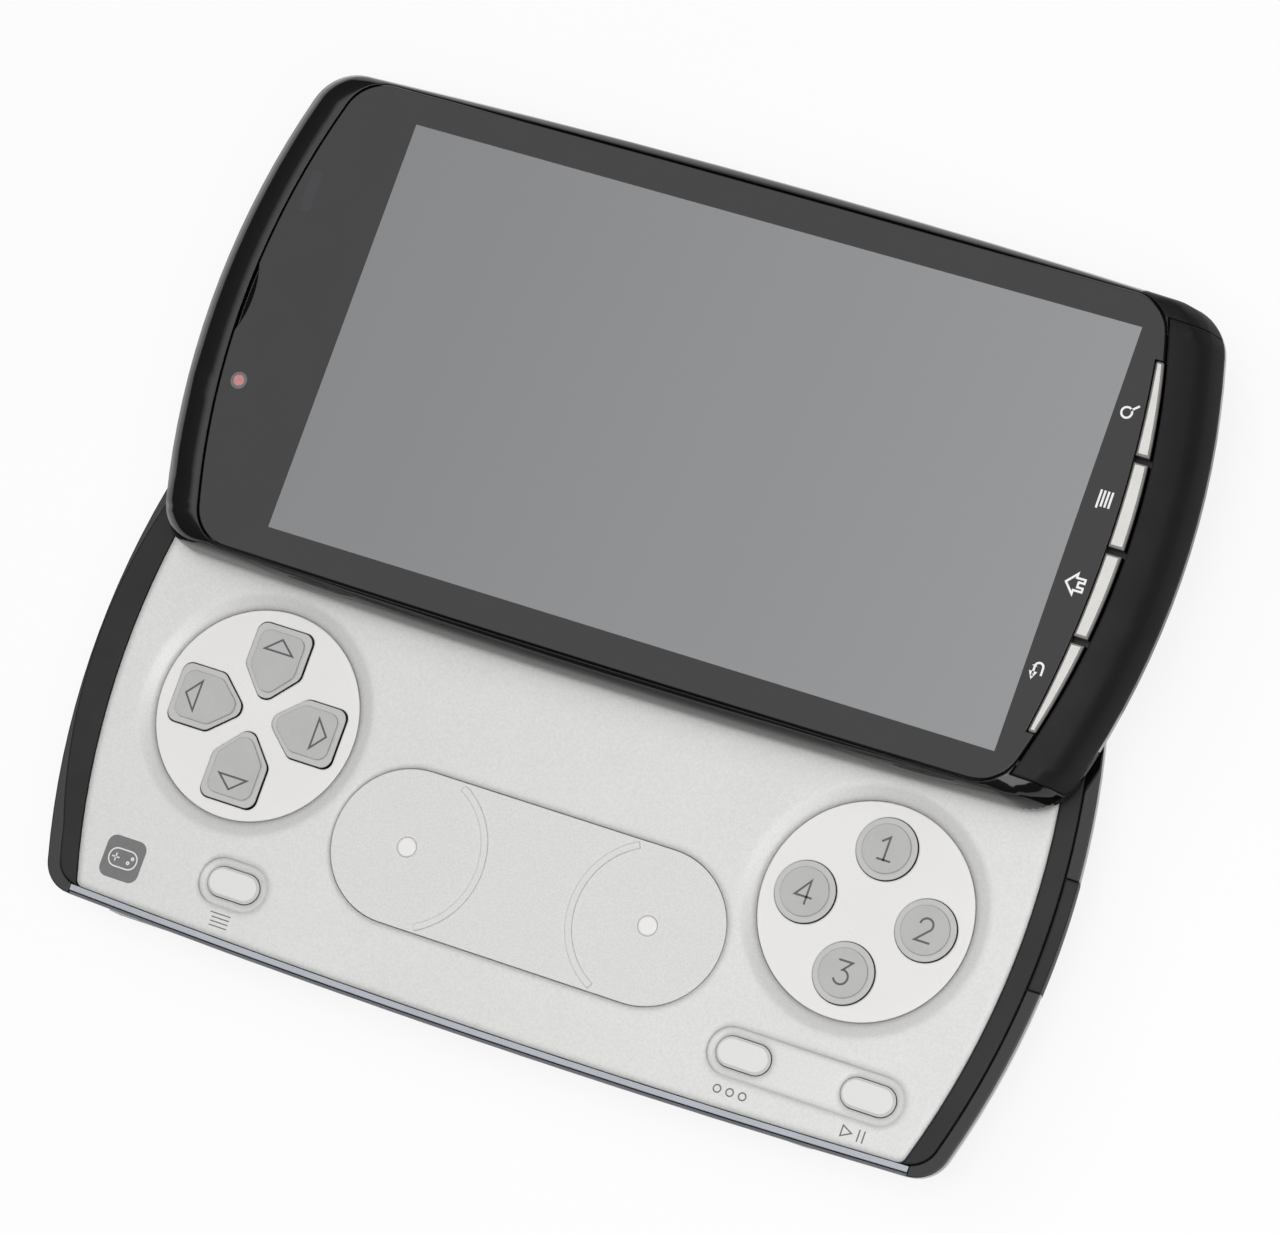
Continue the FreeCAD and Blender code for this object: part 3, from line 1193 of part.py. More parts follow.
def make_slider_tray():
    body = new_body("slider_tray")
    sections = []
    for height, tuck in (("tray_under", "tray_tuck"), ("tray_under + tray_tuck", "0"), ("tray_top", "0")):
        sketch = new_sketch(body, offset=height)
        add_outline(sketch, "half_length - " + tuck, "screen_half_width - " + tuck, "end_round", "side_round",
                    "screen_corner")
        sections.append(sketch)
    loft(body, sections)
    inside = new_sketch(body, offset="tray_top")
    add_outline(inside, "half_length - tray_tuck - wall", "screen_half_width - tray_tuck - wall", "end_round",
                "side_round", "screen_corner")
    pocket(body, inside, "tray_top - floor_top")
    slots = new_sketch(body, offset="floor_top")
    for x in ("-rail_x", "rail_x"):
        add_rectangle(slots, x + " - slot_width / 2", x + " + slot_width / 2", "-slot_reach", "slot_reach")
    pocket(body, slots, "tray_floor")
    return on_screen(body, "slider_tray")


def bezel_loft(body):
    """The outer form of the bezel: an outline that curls in towards the front face."""
    sections = []
    for angle in ("0", "bezel_fold", "bezel_crown", "90"):
        curl = "(1 - cos(%s * 1deg))" % angle
        sketch = new_sketch(body, offset="tray_top + bezel_height * sin(%s * 1deg)" % angle)
        add_outline(sketch, "half_length - bezel_end_roll * " + curl,
                    "screen_half_width - bezel_side_roll * " + curl, "end_round", "side_round",
                    "screen_corner - bezel_side_roll * " + curl)
        sections.append(sketch)
    loft(body, sections)


def add_glass(sketch, grow):
    add_outline(sketch, "glass_half_length + " + grow, "glass_half_width + " + grow, "glass_round",
                "glass_side_round", "glass_corner")


def make_front_bezel():
    body = new_body("front_bezel")
    bezel_loft(body)
    seat = new_sketch(body, offset="front")
    add_glass(seat, "seam")
    pocket(body, seat, "glass_thick")
    inside = new_sketch(body, offset="glass_under")
    add_glass(inside, "-glass_ledge")
    pocket(body, inside, "bezel_height - glass_thick")
    keys = new_sketch(body, offset="front")
    add_curved_bar(keys, "soft_key_inner - glass_ledge - key_gap", "soft_inner_round",
                   "glass_half_length + seam", "glass_round", "-soft_key_span - key_gap",
                   "soft_key_span + key_gap")
    pocket(body, keys, "bezel_height")
    end = new_sketch(body, offset="front")
    add_curved_bar(end, "glass_half_length + seam", "glass_round", "half_length + wall", None,
                   "-cap_half_width", "cap_half_width")
    pocket(body, end, "bezel_height")
    return on_screen(body, "front_bezel")


def make_end_cap():
    body = new_body("end_cap")
    bezel_loft(body)
    left = new_sketch(body, offset="front")
    add_curved_bar(left, "-half_length - wall", None, "glass_half_length + cap_gap", "glass_round",
                   "-screen_half_width - wall", "screen_half_width + wall")
    pocket(body, left, "bezel_height")
    for low, high in (("-screen_half_width - wall", "seam - cap_half_width"),
                      ("cap_half_width - seam", "screen_half_width + wall")):
        side = new_sketch(body, offset="front")
        add_rectangle(side, "0", "half_length + wall", low, high)
        pocket(body, side, "bezel_height")
    return on_screen(body, "end_cap")


def make_touch_glass():
    body = new_body("touch_glass")
    outline = new_sketch(body, offset="glass_under")
    add_glass(outline, "0")
    sheet = pad(body, outline, "glass_thick")
    break_edges(body, sheet, at_height("front"), "glass_break")
    notch = new_sketch(body, offset="front")
    add_circle(notch, "notch_reach - glass_half_length - notch_round", "0", "notch_round")
    pocket(body, notch, "glass_thick")
    keys = new_sketch(body, offset="front")
    add_curved_bar(keys, "soft_key_inner - key_gap", "soft_inner_round", "half_length", None,
                   "-soft_key_span - key_gap", "soft_key_span + key_gap")
    pocket(body, keys, "glass_thick")
    return on_screen(body, "touch_glass")


def make_front_key(name, low_y, high_y):
    body = new_body(name)
    cap = new_sketch(body, offset="front + soft_key_rise - soft_key_height")
    add_curved_bar(cap, "soft_key_inner", "soft_inner_round", "soft_key_outer", "soft_outer_round", low_y,
                   high_y)
    top = pad(body, cap, "soft_key_height")
    span = value("soft_key_span") - 1e-3
    if max(abs(value(low_y)), abs(value(high_y))) > span:
        top = break_edges(body, top, lambda box, edge: upright(box, edge)
                          and max(abs(box.YMin), abs(box.YMax)) > span, "soft_key_tip", "Fillet")
    break_edges(body, top, at_height("front + soft_key_rise"), "edge_break")
    flange = new_sketch(body, offset="front + soft_key_rise - soft_key_height")
    add_curved_bar(flange, "soft_key_inner - flange_margin", "soft_inner_round",
                   "soft_key_inner + edge_break", "soft_inner_round", low_y, high_y)
    pad(body, flange, "glass_under - key_gap - (front + soft_key_rise - soft_key_height)")
    return on_screen(body, name)


def make_display():
    low = ("display_x - display_length / 2", "travel - display_width / 2", "glass_under - display_thick")
    high = ("display_x + display_length / 2", "travel + display_width / 2", "glass_under")
    return keep(block(low, high, "display_block"), "display_module")


def make_earpiece():
    left = "(display_x - display_length / 2 - wall)"
    low = (left + " - earpiece_width", "travel - earpiece_length / 2", "glass_under - display_thick")
    high = (left, "travel + earpiece_length / 2", "glass_under")
    return keep(block(low, high, "earpiece_block"), "earpiece")


def make_front_camera():
    place = ("front_camera_x", "travel + front_camera_y", "glass_under - display_thick")
    return keep(rod(place, "front_camera_radius", "display_thick", label="front_camera_rod"), "front_camera")


def make_key_board():
    """The narrow board with a switch below each front key."""
    body = new_body("key_board")
    top = "(front + soft_key_rise - soft_key_height - key_travel - runner_gap)"
    strip = new_sketch(body, offset=top + " - board_thick")
    add_curved_bar(strip, "soft_key_inner - flange_margin", "soft_inner_round", "soft_key_outer",
                   "soft_outer_round", "-soft_key_span", "soft_key_span")
    pad(body, strip, "board_thick")
    return on_screen(body, "key_board")


def make_all():
    make_battery_cover()
    make_base_frame()
    make_grip("left_grip", "-")
    make_grip("right_grip", "")
    make_end_insert()
    make_edge_trim()
    make_gamepad_plate()
    make_disc("dpad_disc", "-disc_x", True)
    make_disc("action_disc", "disc_x", False)
    make_key_carrier()
    make_touchpad()
    for name, angle in (("dpad_up", 0), ("dpad_left", 90), ("dpad_down", 180), ("dpad_right", 270)):
        make_direction_key(name, angle)
    for name, angle in (("key_one", 0), ("key_two", 270), ("key_three", 180), ("key_four", 90)):
        make_number_key(name, angle)
    for name, x in (("menu_key", "menu_x"), ("select_key", "select_x"), ("start_key", "start_x")):
        make_pill_key(name, x)
    make_chassis()
    make_battery()
    make_main_board()
    make_shields()
    make_key_switches()
    make_rear_camera()
    make_camera_window()
    make_flash()
    make_speaker("speaker_left", -1)
    make_speaker("speaker_right", 1)
    make_motor()
    make_card_holder()
    make_headphone_socket()
    make_usb_socket()
    make_side_keys()
    make_side_switches()
    make_slide_bracket()
    make_runner("runner_left", "-rail_x")
    make_runner("runner_right", "rail_x")
    make_rail_plate()
    make_slider_tray()
    make_front_bezel()
    make_end_cap()
    make_touch_glass()
    split, half_slit, span = "soft_key_split", "soft_key_slit / 2", "soft_key_span"
    make_front_key("front_key_search", "%s + %s" % (split, half_slit), span)
    make_front_key("front_key_menu", half_slit, "%s - %s" % (split, half_slit))
    make_front_key("front_key_home", "%s - %s" % (half_slit, split), "-" + half_slit)
    make_front_key("front_key_back", "-" + span, "-%s - %s" % (split, half_slit))
    make_display()
    make_earpiece()
    make_front_camera()
    make_key_board()


make_all()
document.recompute()

for item in document.Objects:
    if "Invalid" in item.State or "Error" in item.State:
        raise RuntimeError("%s failed to build: %s" % (item.Name, item.State))
for name, item in nodes.items():
    if item.Shape.isNull() or not item.Shape.isValid():
        raise RuntimeError("%s has no valid shape" % name)

os.makedirs("parts", exist_ok=True)
for name, item in nodes.items():
    item.Shape.exportStep("parts/%s.step" % name)
print("%d pieces written" % len(nodes))
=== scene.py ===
import math

import bmesh
import bpy
from mathutils import Matrix, Vector


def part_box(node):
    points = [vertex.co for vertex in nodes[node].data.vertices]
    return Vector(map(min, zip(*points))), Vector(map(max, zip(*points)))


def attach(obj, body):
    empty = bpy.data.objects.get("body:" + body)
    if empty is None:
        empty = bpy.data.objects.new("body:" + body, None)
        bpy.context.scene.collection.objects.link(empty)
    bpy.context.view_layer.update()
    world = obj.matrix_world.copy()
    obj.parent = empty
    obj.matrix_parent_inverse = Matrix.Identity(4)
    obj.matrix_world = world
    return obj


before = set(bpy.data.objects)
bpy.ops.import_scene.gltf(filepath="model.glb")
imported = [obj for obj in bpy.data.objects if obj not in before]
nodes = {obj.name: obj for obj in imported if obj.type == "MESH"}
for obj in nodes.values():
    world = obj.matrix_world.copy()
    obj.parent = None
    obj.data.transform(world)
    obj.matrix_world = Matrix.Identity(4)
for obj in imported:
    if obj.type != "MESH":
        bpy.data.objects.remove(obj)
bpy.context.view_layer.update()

MM = 0.001


def middle(name):
    low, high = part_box(name)
    return (low + high) / 2


# Pieces that share a finish or a shading

DIRECTION_KEYS = ("dpad_up", "dpad_left", "dpad_down", "dpad_right")
NUMBER_KEYS = ("key_one", "key_two", "key_three", "key_four")
SMALL_KEYS = ("menu_key", "select_key", "start_key")
FRONT_KEYS = ("front_key_search", "front_key_menu", "front_key_home", "front_key_back")
SIDE_KEYS = ("trigger_left", "trigger_right", "volume_rocker", "power_key")
BLACK_SHELLS = ("battery_cover", "base_frame", "slider_tray")
GRIPS = ("left_grip", "right_grip", "end_insert")
CURLED_PIECES = BLACK_SHELLS + GRIPS + ("front_bezel", "end_cap")
STEEL_PIECES = ("rail_plate", "slide_bracket", "shield_cans", "usb_socket", "vibration_motor",
                "card_holder", "key_domes", "side_switches")
NYLON_PIECES = ("runner_left", "runner_right", "key_carrier")
BLACK_MODULES = ("rear_camera", "speaker_left", "speaker_right", "headphone_socket", "earpiece",
                 "front_camera", "display_module", "key_board")


# Faces that prints and small pieces lie on

PAD_SUNK = 0.05  # touch pad's face below the plate's, mm
GLASS_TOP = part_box("touch_glass")[1].z
PLATE_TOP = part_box("gamepad_plate")[1].z
KEY_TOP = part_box("dpad_up")[1].z
PAD_TOP = PLATE_TOP - PAD_SUNK * MM
SCREEN_Y = middle("touch_glass").y


# Camera and light, in metres where nothing else is said. The camera's three directions are at
# right angles to each other.

SENSOR_WIDTH = 36.0  # mm
LENS = 160.275  # mm
CAMERA_PLACE = Vector((0.214850, -0.061241, 0.599460))
CAMERA_RIGHT = Vector((0.9000474, 0.33491346, -0.27883267))
CAMERA_DOWN = Vector((0.27664013, -0.93347322, -0.22824984))
CAMERA_AHEAD = Vector((-0.33672677, 0.12829937, -0.93282064))

LAMP_PLACE = Vector((0.30, -0.10, 0.80))
LAMP_SIZE = 0.7
LAMP_WATTS = 5.0

SKY_AXIS = Vector((-0.4, 0.15, 0.9)).normalized()  # towards the brightest part of the sky
SKY_STEPS = ((0.0, 0.1), (0.5, 0.12), (0.72, 0.16), (0.84, 0.24), (0.895, 1.5), (1.0, 1.5))

FLOOR_REACH = 6.0  # from the origin to each side
FLOOR_GREY = (0.93, 0.93, 0.93)
FLOOR_GLOW = 0.85  # share of plain white in what the camera sees of the floor


def add_camera():
    data = bpy.data.cameras.new("camera")
    data.sensor_width = SENSOR_WIDTH
    data.lens = LENS
    turn = Matrix((CAMERA_RIGHT, -CAMERA_DOWN, -CAMERA_AHEAD)).transposed().to_4x4()
    camera = bpy.data.objects.new("camera", data)
    camera.matrix_world = Matrix.Translation(CAMERA_PLACE) @ turn
    bpy.context.scene.collection.objects.link(camera)
    bpy.context.scene.camera = camera


def add_key_light():
    """A square soft light that looks at the origin."""
    data = bpy.data.lights.new("key_light", "AREA")
    data.shape = "SQUARE"
    data.size = LAMP_SIZE
    data.energy = LAMP_WATTS
    lamp = bpy.data.objects.new("key_light", data)
    aim = (-LAMP_PLACE).to_track_quat("-Z", "Y")
    lamp.matrix_world = Matrix.Translation(LAMP_PLACE) @ aim.to_matrix().to_4x4()
    bpy.context.scene.collection.objects.link(lamp)


def add_world():
    """A dim room under a large soft light. Its level goes by the cosine between a direction and
    the sky's axis, in steps of cosine and level."""
    world = bpy.data.worlds.new("studio")
    world.use_nodes = True
    tree = world.node_tree
    direction = tree.nodes.new("ShaderNodeTexCoord")
    towards = tree.nodes.new("ShaderNodeVectorMath")
    towards.operation = "DOT_PRODUCT"
    towards.inputs[1].default_value = SKY_AXIS
    tree.links.new(direction.outputs["Generated"], towards.inputs[0])
    ramp = tree.nodes.new("ShaderNodeValToRGB")
    for nearness, _ in SKY_STEPS[1:-1]:
        ramp.color_ramp.elements.new(nearness)
    for element, (nearness, level) in zip(ramp.color_ramp.elements, SKY_STEPS):
        element.color = (level, level, level, 1)
    tree.links.new(towards.outputs["Value"], ramp.inputs[0])
    dome = tree.nodes["Background"]
    tree.links.new(ramp.outputs["Color"], dome.inputs["Color"])
    bpy.context.scene.world = world


def add_floor():
    """A pale floor that takes a soft shadow. To the camera, in gloss and through glass, most of
    what shows of it is plain white."""
    mesh = bpy.data.meshes.new("floor")
    corners = [(x * FLOOR_REACH, y * FLOOR_REACH, 0) for x, y in ((-1, -1), (1, -1), (1, 1), (-1, 1))]
    mesh.from_pydata(corners, [], [(0, 1, 2, 3)])
    floor = bpy.data.objects.new("floor", mesh)
    bpy.context.scene.collection.objects.link(floor)
    paper = Look("floor", FLOOR_GREY, 0.9)
    paper.mottle(40.0, 0.01)
    path = paper.node("ShaderNodeLightPath")
    rays = ("Is Camera Ray", "Is Glossy Ray", "Is Transmission Ray")
    seen = paper.combined("MAXIMUM", [path.outputs[ray] for ray in rays])
    white = paper.node("ShaderNodeEmission")
    mix = paper.node("ShaderNodeMixShader")
    paper.link(paper.ranged(seen, 0.0, 1.0, 0.0, FLOOR_GLOW), mix.inputs[0])
    paper.link(paper.shader.outputs[0], mix.inputs[1])
    paper.link(white.outputs[0], mix.inputs[2])
    paper.link(mix.outputs[0], paper.tree.nodes["Material Output"].inputs["Surface"])
    mesh.materials.append(paper.material)


# Materials

class Look:
    """A Principled material whose colour, roughness and bump come from procedural nodes. Sizes
    and depths are in millimetres. Rounded is the radius at which its edges catch the light, and
    any further keyword names one of the shader's own sockets."""

    def __init__(self, name, colour, roughness, rounded=0.0, **sockets):
        self.material = bpy.data.materials.new(name)
        self.material.use_nodes = True
        self.tree = self.material.node_tree
        self.shader = self.tree.nodes["Principled BSDF"]
        self.colour = colour
        self.shader.inputs["Base Color"].default_value = (*colour, 1)
        self.shader.inputs["Roughness"].default_value = roughness
        for keyword, content in sockets.items():
            socket = keyword.replace("_", " ").title().replace("Ior", "IOR")
            self.shader.inputs[socket].default_value = content
        self.normal = None
        if rounded:
            bevel = self.node("ShaderNodeBevel", samples=6)
            bevel.inputs["Radius"].default_value = rounded * MM
            self.set_normal(bevel.outputs["Normal"])

    def node(self, kind, **values):
        made = self.tree.nodes.new(kind)
        for key, content in values.items():
            setattr(made, key, content)
        return made

    def link(self, source, target):
        self.tree.links.new(source, target)

    def feed(self, source, name):
        """Link a source to one of the shader's own sockets."""
        self.link(source, self.shader.inputs[name])

    def set_normal(self, source):
        self.normal = source
        self.feed(source, "Normal")

    def place(self, axis=None):
        """Place on the object, or one coordinate of it."""
        place = self.node("ShaderNodeTexCoord").outputs["Object"]
        if axis is None:
            return place
        parts = self.node("ShaderNodeSeparateXYZ")
        self.link(place, parts.inputs[0])
        return parts.outputs[axis]

    def ranged(self, source, low, high, start=0.0, end=1.0):
        """The source's stretch from low to high, spread from start to end."""
        span = self.node("ShaderNodeMapRange")
        span.inputs["From Min"].default_value = low
        span.inputs["From Max"].default_value = high
        span.inputs["To Min"].default_value = start
        span.inputs["To Max"].default_value = end
        self.link(source, span.inputs["Value"])
        return span.outputs["Result"]

    def noise(self, size, detail=2.0, stretch=None):
        """Noise whose features are about this size."""
        texture = self.node("ShaderNodeTexNoise")
        texture.inputs["Scale"].default_value = 1.0 / (size * MM)
        texture.inputs["Detail"].default_value = detail
        place = self.place()
        if stretch:
            mapping = self.node("ShaderNodeMapping")
            mapping.inputs["Scale"].default_value = stretch
            self.link(place, mapping.inputs["Vector"])
            place = mapping.outputs["Vector"]
        self.link(place, texture.inputs["Vector"])
        return self.ranged(texture.outputs["Fac"], 0.3, 0.7)

    def above(self, top, deep, shallow):
        """0 from the greater depth under a top downwards, and 1 from the lesser depth upwards."""
        return self.ranged(self.place("Z"), top - deep * MM, top - shallow * MM)

    def combined(self, operation, sources):
        """Sources taken together two by two, such as for their largest or their product."""
        result, *others = sources
        for other in others:
            step = self.node("ShaderNodeMath", operation=operation)
            self.link(result, step.inputs[0])
            self.link(other, step.inputs[1])
            result = step.outputs[0]
        return result

    def passed(self, axis, test, limit):
        """1 where a coordinate passes a test against a limit in metres."""
        check = self.node("ShaderNodeMath", operation=test)
        check.inputs[1].default_value = limit
        self.link(self.place(axis), check.inputs[0])
        return check.outputs[0]

    def inside(self, *tests):
        """1 where every test is passed, each given as an axis, a test and a limit."""
        return self.combined("MULTIPLY", [self.passed(*test) for test in tests])

    def mixed(self, factor, first, second):
        """A blend of two colours, each a colour or a socket."""
        mix = self.node("ShaderNodeMix", data_type="RGBA")
        self.link(factor, mix.inputs[0])
        for socket, content in ((mix.inputs[6], first), (mix.inputs[7], second)):
            if isinstance(content, bpy.types.NodeSocket):
                self.link(content, socket)
            else:
                socket.default_value = (*content, 1)
        return mix.outputs[2]

    def clouds(self, size, amount, colour=None):
        """Lighter and darker patches of the colour, as a socket."""
        colour = colour or self.colour
        low = tuple(channel * (1 - amount) for channel in colour)
        high = tuple(min(1.0, channel * (1 + amount)) for channel in colour)
        return self.mixed(self.noise(size, 3.0), low, high)

    def paint(self, source):
        self.feed(source, "Base Color")

    def mottle(self, size, amount):
        self.paint(self.clouds(size, amount))

    def worn(self, size, low, high):
        """Roughness that varies over the surface."""
        self.feed(self.ranged(self.noise(size, 3.0), 0.0, 1.0, low, high), "Roughness")

    def grain(self, size, depth, detail=1.0, stretch=None):
        """Fine bump. Later grains add to earlier ones."""
        bump = self.node("ShaderNodeBump")
        bump.inputs["Distance"].default_value = depth * MM
        self.link(self.noise(size, detail, stretch), bump.inputs["Height"])
        if self.normal:
            self.link(self.normal, bump.inputs["Normal"])
        self.set_normal(bump.outputs["Normal"])


GAP_PAINTED_SHADE = (0.012, 0.012, 0.012)  # painted shade on the sides of the deck's keys, down in their gaps
FRONT_GAP_PAINTED_SHADE = (0.015, 0.015, 0.015)  # painted shade on the sides of the front keys
GLOSS_BLACK = (0.003, 0.003, 0.0033)
GLOSS_ROUGHNESS = 0.06
# Grips and end cap are one charcoal plastic; the end cap's copy is painted darker, as shade.
GRIP_BLACK = (0.014, 0.014, 0.0145)
GRIP_SHEEN = 0.28
CAP_BLACK_SHADED = (0.011, 0.011, 0.0112)
CAP_SHEEN = 0.15
MATT_ROUGHNESS = 0.5
USUAL_SHEEN = 0.5  # specular level of a surface that sets none
CAP_RUN_ON = 4.0  # how far before the end cap the bezel takes on its finish, mm
DISPLAY_INSET = 1.0  # display module's edge to its picture, mm


def gloss_black():
    look = Look("gloss_black", GLOSS_BLACK, GLOSS_ROUGHNESS, rounded=0.25)
    look.mottle(9.0, 0.12)
    look.worn(14.0, 0.04, 0.08)
    look.grain(0.9, 0.0004)
    return look.material


def bezel_black():
    """Gloss black that turns matt at the far right corner, where the end cap's finish runs on."""
    look = Look("bezel_black", GLOSS_BLACK, GLOSS_ROUGHNESS, rounded=0.25)
    cap_low, cap_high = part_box("end_cap")
    corner = look.inside(("X", "GREATER_THAN", cap_low.x - CAP_RUN_ON * MM),
                         ("Y", "GREATER_THAN", cap_high.y))
    # The corner takes the end cap's colour, which is painted darker as shade.
    look.paint(look.mixed(corner, look.clouds(9.0, 0.12), CAP_BLACK_SHADED))
    look.feed(look.ranged(corner, 0.0, 1.0, GLOSS_ROUGHNESS, MATT_ROUGHNESS), "Roughness")
    look.feed(look.ranged(corner, 0.0, 1.0, USUAL_SHEEN, CAP_SHEEN), "Specular IOR Level")
    look.grain(0.9, 0.0004)
    return look.material


def matt_charcoal(name, colour, sheen):
    look = Look(name, colour, MATT_ROUGHNESS, rounded=0.4, specular_ior_level=sheen)
    look.mottle(5.0, 0.08)
    look.worn(6.0, 0.44, 0.54)
    look.grain(0.16, 0.006)
    return look.material


def silver_plate():
    """Silver paint with a fine sparkle."""
    look = Look("silver_plate", (0.66, 0.66, 0.65), 0.44, rounded=1.2, metallic=0.15)
    sparkle = look.noise(0.26, 1.0)
    dull = look.mixed(sparkle, (0.62, 0.62, 0.61), (0.68, 0.68, 0.67))
    bright = look.mixed(sparkle, (0.64, 0.64, 0.63), (0.70, 0.70, 0.69))
    look.paint(look.mixed(look.noise(16.0), dull, bright))
    look.worn(11.0, 0.4, 0.48)
    look.grain(0.2, 0.002)
    return look.material


def pearl(name, colour, top=None, rounded=0.25):
    """White plastic. Where a top is given, the sides under it get painted shade, as in a deep gap."""
    look = Look(name, colour, 0.3, rounded=rounded, coat_weight=0.3, coat_roughness=0.1)
    shade = look.clouds(7.0, 0.012)
    if top is not None:
        # Painted shade: the sides under the top are dark, as down in a gap.
        shade = look.mixed(look.above(top, deep=0.5, shallow=0.3), GAP_PAINTED_SHADE, shade)
    look.paint(shade)
    look.worn(9.0, 0.26, 0.34)
    look.grain(0.2, 0.0008)
    return look.material


def key_grey():
    """Milky grey keys, with a painted highlight that makes the rim lighter than the raised middle,
    and painted shade on their sides.
    """
    look = Look("key_grey", (0.435, 0.435, 0.43), 0.25, rounded=0.14, coat_weight=0.3)
    # Painted highlight: the lower rim is lighter than the raised middle.
    rim = look.clouds(3.0, 0.02, (0.485, 0.485, 0.475))
    raised = look.above(KEY_TOP, deep=0.2, shallow=0.05)
    face = look.mixed(raised, rim, look.clouds(3.0, 0.03))
    # Painted shade on the keys' sides, down in their gaps.
    look.paint(look.mixed(look.above(KEY_TOP, deep=0.4, shallow=0.3), GAP_PAINTED_SHADE, face))
    look.worn(4.0, 0.2, 0.3)
    look.grain(0.3, 0.0006)
    return look.material


def pad_silver():
    """Silver touch pad with a fine speckle."""
    look = Look("pad_silver", (0.68, 0.68, 0.67), 0.45, rounded=0.2, coat_weight=0.2,
                coat_roughness=0.25)
    look.paint(look.mixed(look.noise(0.2, 2.0), (0.63, 0.63, 0.62), (0.72, 0.72, 0.71)))
    look.worn(8.0, 0.4, 0.5)
    look.grain(0.22, 0.004, detail=2.0)
    return look.material


def edge_metal():
    """Bluish metal strip: a band on top, then painted shade down its side, as a black line along its
    edge and a grey band below.
    """
    look = Look("edge_metal", (0.33, 0.345, 0.38), 0.25, rounded=0.08, metallic=0.6)
    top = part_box("edge_trim")[1].z
    # Painted shade down the side: a black line along the edge, then a darker grey band.
    line = look.above(top, deep=0.17, shallow=0.15)
    side = look.mixed(line, (0.27, 0.28, 0.31), (0.008, 0.008, 0.009))
    flat = look.above(top, deep=0.04, shallow=0.02)
    look.paint(look.mixed(flat, side, look.clouds(5.0, 0.06)))
    look.worn(4.0, 0.2, 0.3)
    look.grain(0.12, 0.0012, stretch=(0.05, 1, 1))
    return look.material


def soft_key():
    """Silvery front keys, in a slot at the right end of the glass, with painted shade on their sides.
    """
    look = Look("soft_key", (0.54, 0.53, 0.51), 0.26, metallic=0.5, coat_weight=0.3)
    # Painted shade on the keys' sides, down in their slot.
    side = look.above(GLASS_TOP, deep=0.15, shallow=0.0)
    look.paint(look.mixed(side, FRONT_GAP_PAINTED_SHADE, look.clouds(2.5, 0.04)))
    look.worn(3.0, 0.2, 0.3)
    look.grain(0.1, 0.001)
    return look.material


def front_glass():
    """Polished glass over a black surround and the grey display, with painted light that makes the
    display lighter to the right.
    """
    look = Look("front_glass", (0.005, 0.005, 0.005), 0.04, rounded=0.12)
    low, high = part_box("display_module")
    inset = DISPLAY_INSET * MM
    picture = look.inside(("X", "GREATER_THAN", low.x + inset), ("X", "LESS_THAN", high.x - inset),
                          ("Y", "GREATER_THAN", low.y + inset), ("Y", "LESS_THAN", high.y - inset))
    # Painted light: the display's grey grows lighter to the right.
    painted_light_rightward = look.ranged(look.place("X"), low.x, high.x)
    grey = look.mixed(painted_light_rightward, (0.204, 0.208, 0.216), (0.262, 0.266, 0.274))
    look.paint(look.mixed(picture, look.clouds(6.0, 0.15), grey))
    look.worn(20.0, 0.03, 0.07)
    return look.material


def steel():
    look = Look("steel", (0.50, 0.51, 0.52), 0.32, rounded=0.1, metallic=0.9)
    look.mottle(4.0, 0.06)
    look.worn(5.0, 0.28, 0.38)
    look.grain(0.15, 0.002, stretch=(0.05, 1, 1))
    return look.material


def plain(name, colour, roughness, size=3.0):
    """One colour with faint patches of about this size."""
    look = Look(name, colour, roughness, rounded=0.1)
    look.mottle(size, 0.06)
    look.worn(size * 2, roughness * 0.85, min(1.0, roughness * 1.15))
    look.grain(0.2, 0.002)
    return look.material


def ink(name, colour):
    look = Look(name, colour, 0.45)
    look.mottle(0.8, 0.05)
    look.grain(0.15, 0.0008)
    return look.material


def dress(names, material):
    for name in names:
        for slot in nodes[name].material_slots:
            slot.material = material


def dress_frame():
    dress(BLACK_SHELLS + SIDE_KEYS, gloss_black())
    dress(("front_bezel",), bezel_black())
    dress(GRIPS, matt_charcoal("grip_charcoal", GRIP_BLACK, GRIP_SHEEN))
    dress(("end_cap",), matt_charcoal("cap_charcoal_shaded", CAP_BLACK_SHADED, CAP_SHEEN))
    dress(("gamepad_plate",), silver_plate())
    dress(("dpad_disc", "action_disc"), pearl("pearl", (0.76, 0.75, 0.735)))
    pill_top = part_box("select_key")[1].z
    dress(SMALL_KEYS, pearl("pill_white", (0.72, 0.72, 0.715), pill_top, rounded=0.12))
    dress(DIRECTION_KEYS + NUMBER_KEYS, key_grey())
    dress(("touchpad",), pad_silver())
    dress(("edge_trim",), edge_metal())
    dress(FRONT_KEYS, soft_key())
    dress(("touch_glass",), front_glass())
    dress(STEEL_PIECES, steel())
    dress(("chassis",), plain("alloy", (0.5, 0.51, 0.52), 0.35))
    dress(("main_board",), plain("board_green", (0.02, 0.10, 0.05), 0.4))
    dress(NYLON_PIECES, plain("nylon", (0.68, 0.67, 0.63), 0.45))
    dress(("battery",), plain("battery_wrap", (0.06, 0.06, 0.065), 0.5))
    dress(BLACK_MODULES, plain("module_black", (0.02, 0.02, 0.02), 0.5))
    dress(("camera_window",), plain("lens", (0.012, 0.012, 0.018), 0.06, size=8.0))
    dress(("flash_lamp",), plain("flash", (0.75, 0.73, 0.6), 0.2))


# Shading of the CAD meshes

FACET_ANGLE = 16  # facets of one curved face meet at less, degrees
FOLD_ANGLE = 44  # curled sides fold at less, degrees
WELD = 0.002  # corners of neighbouring faces nearer than this are one, mm


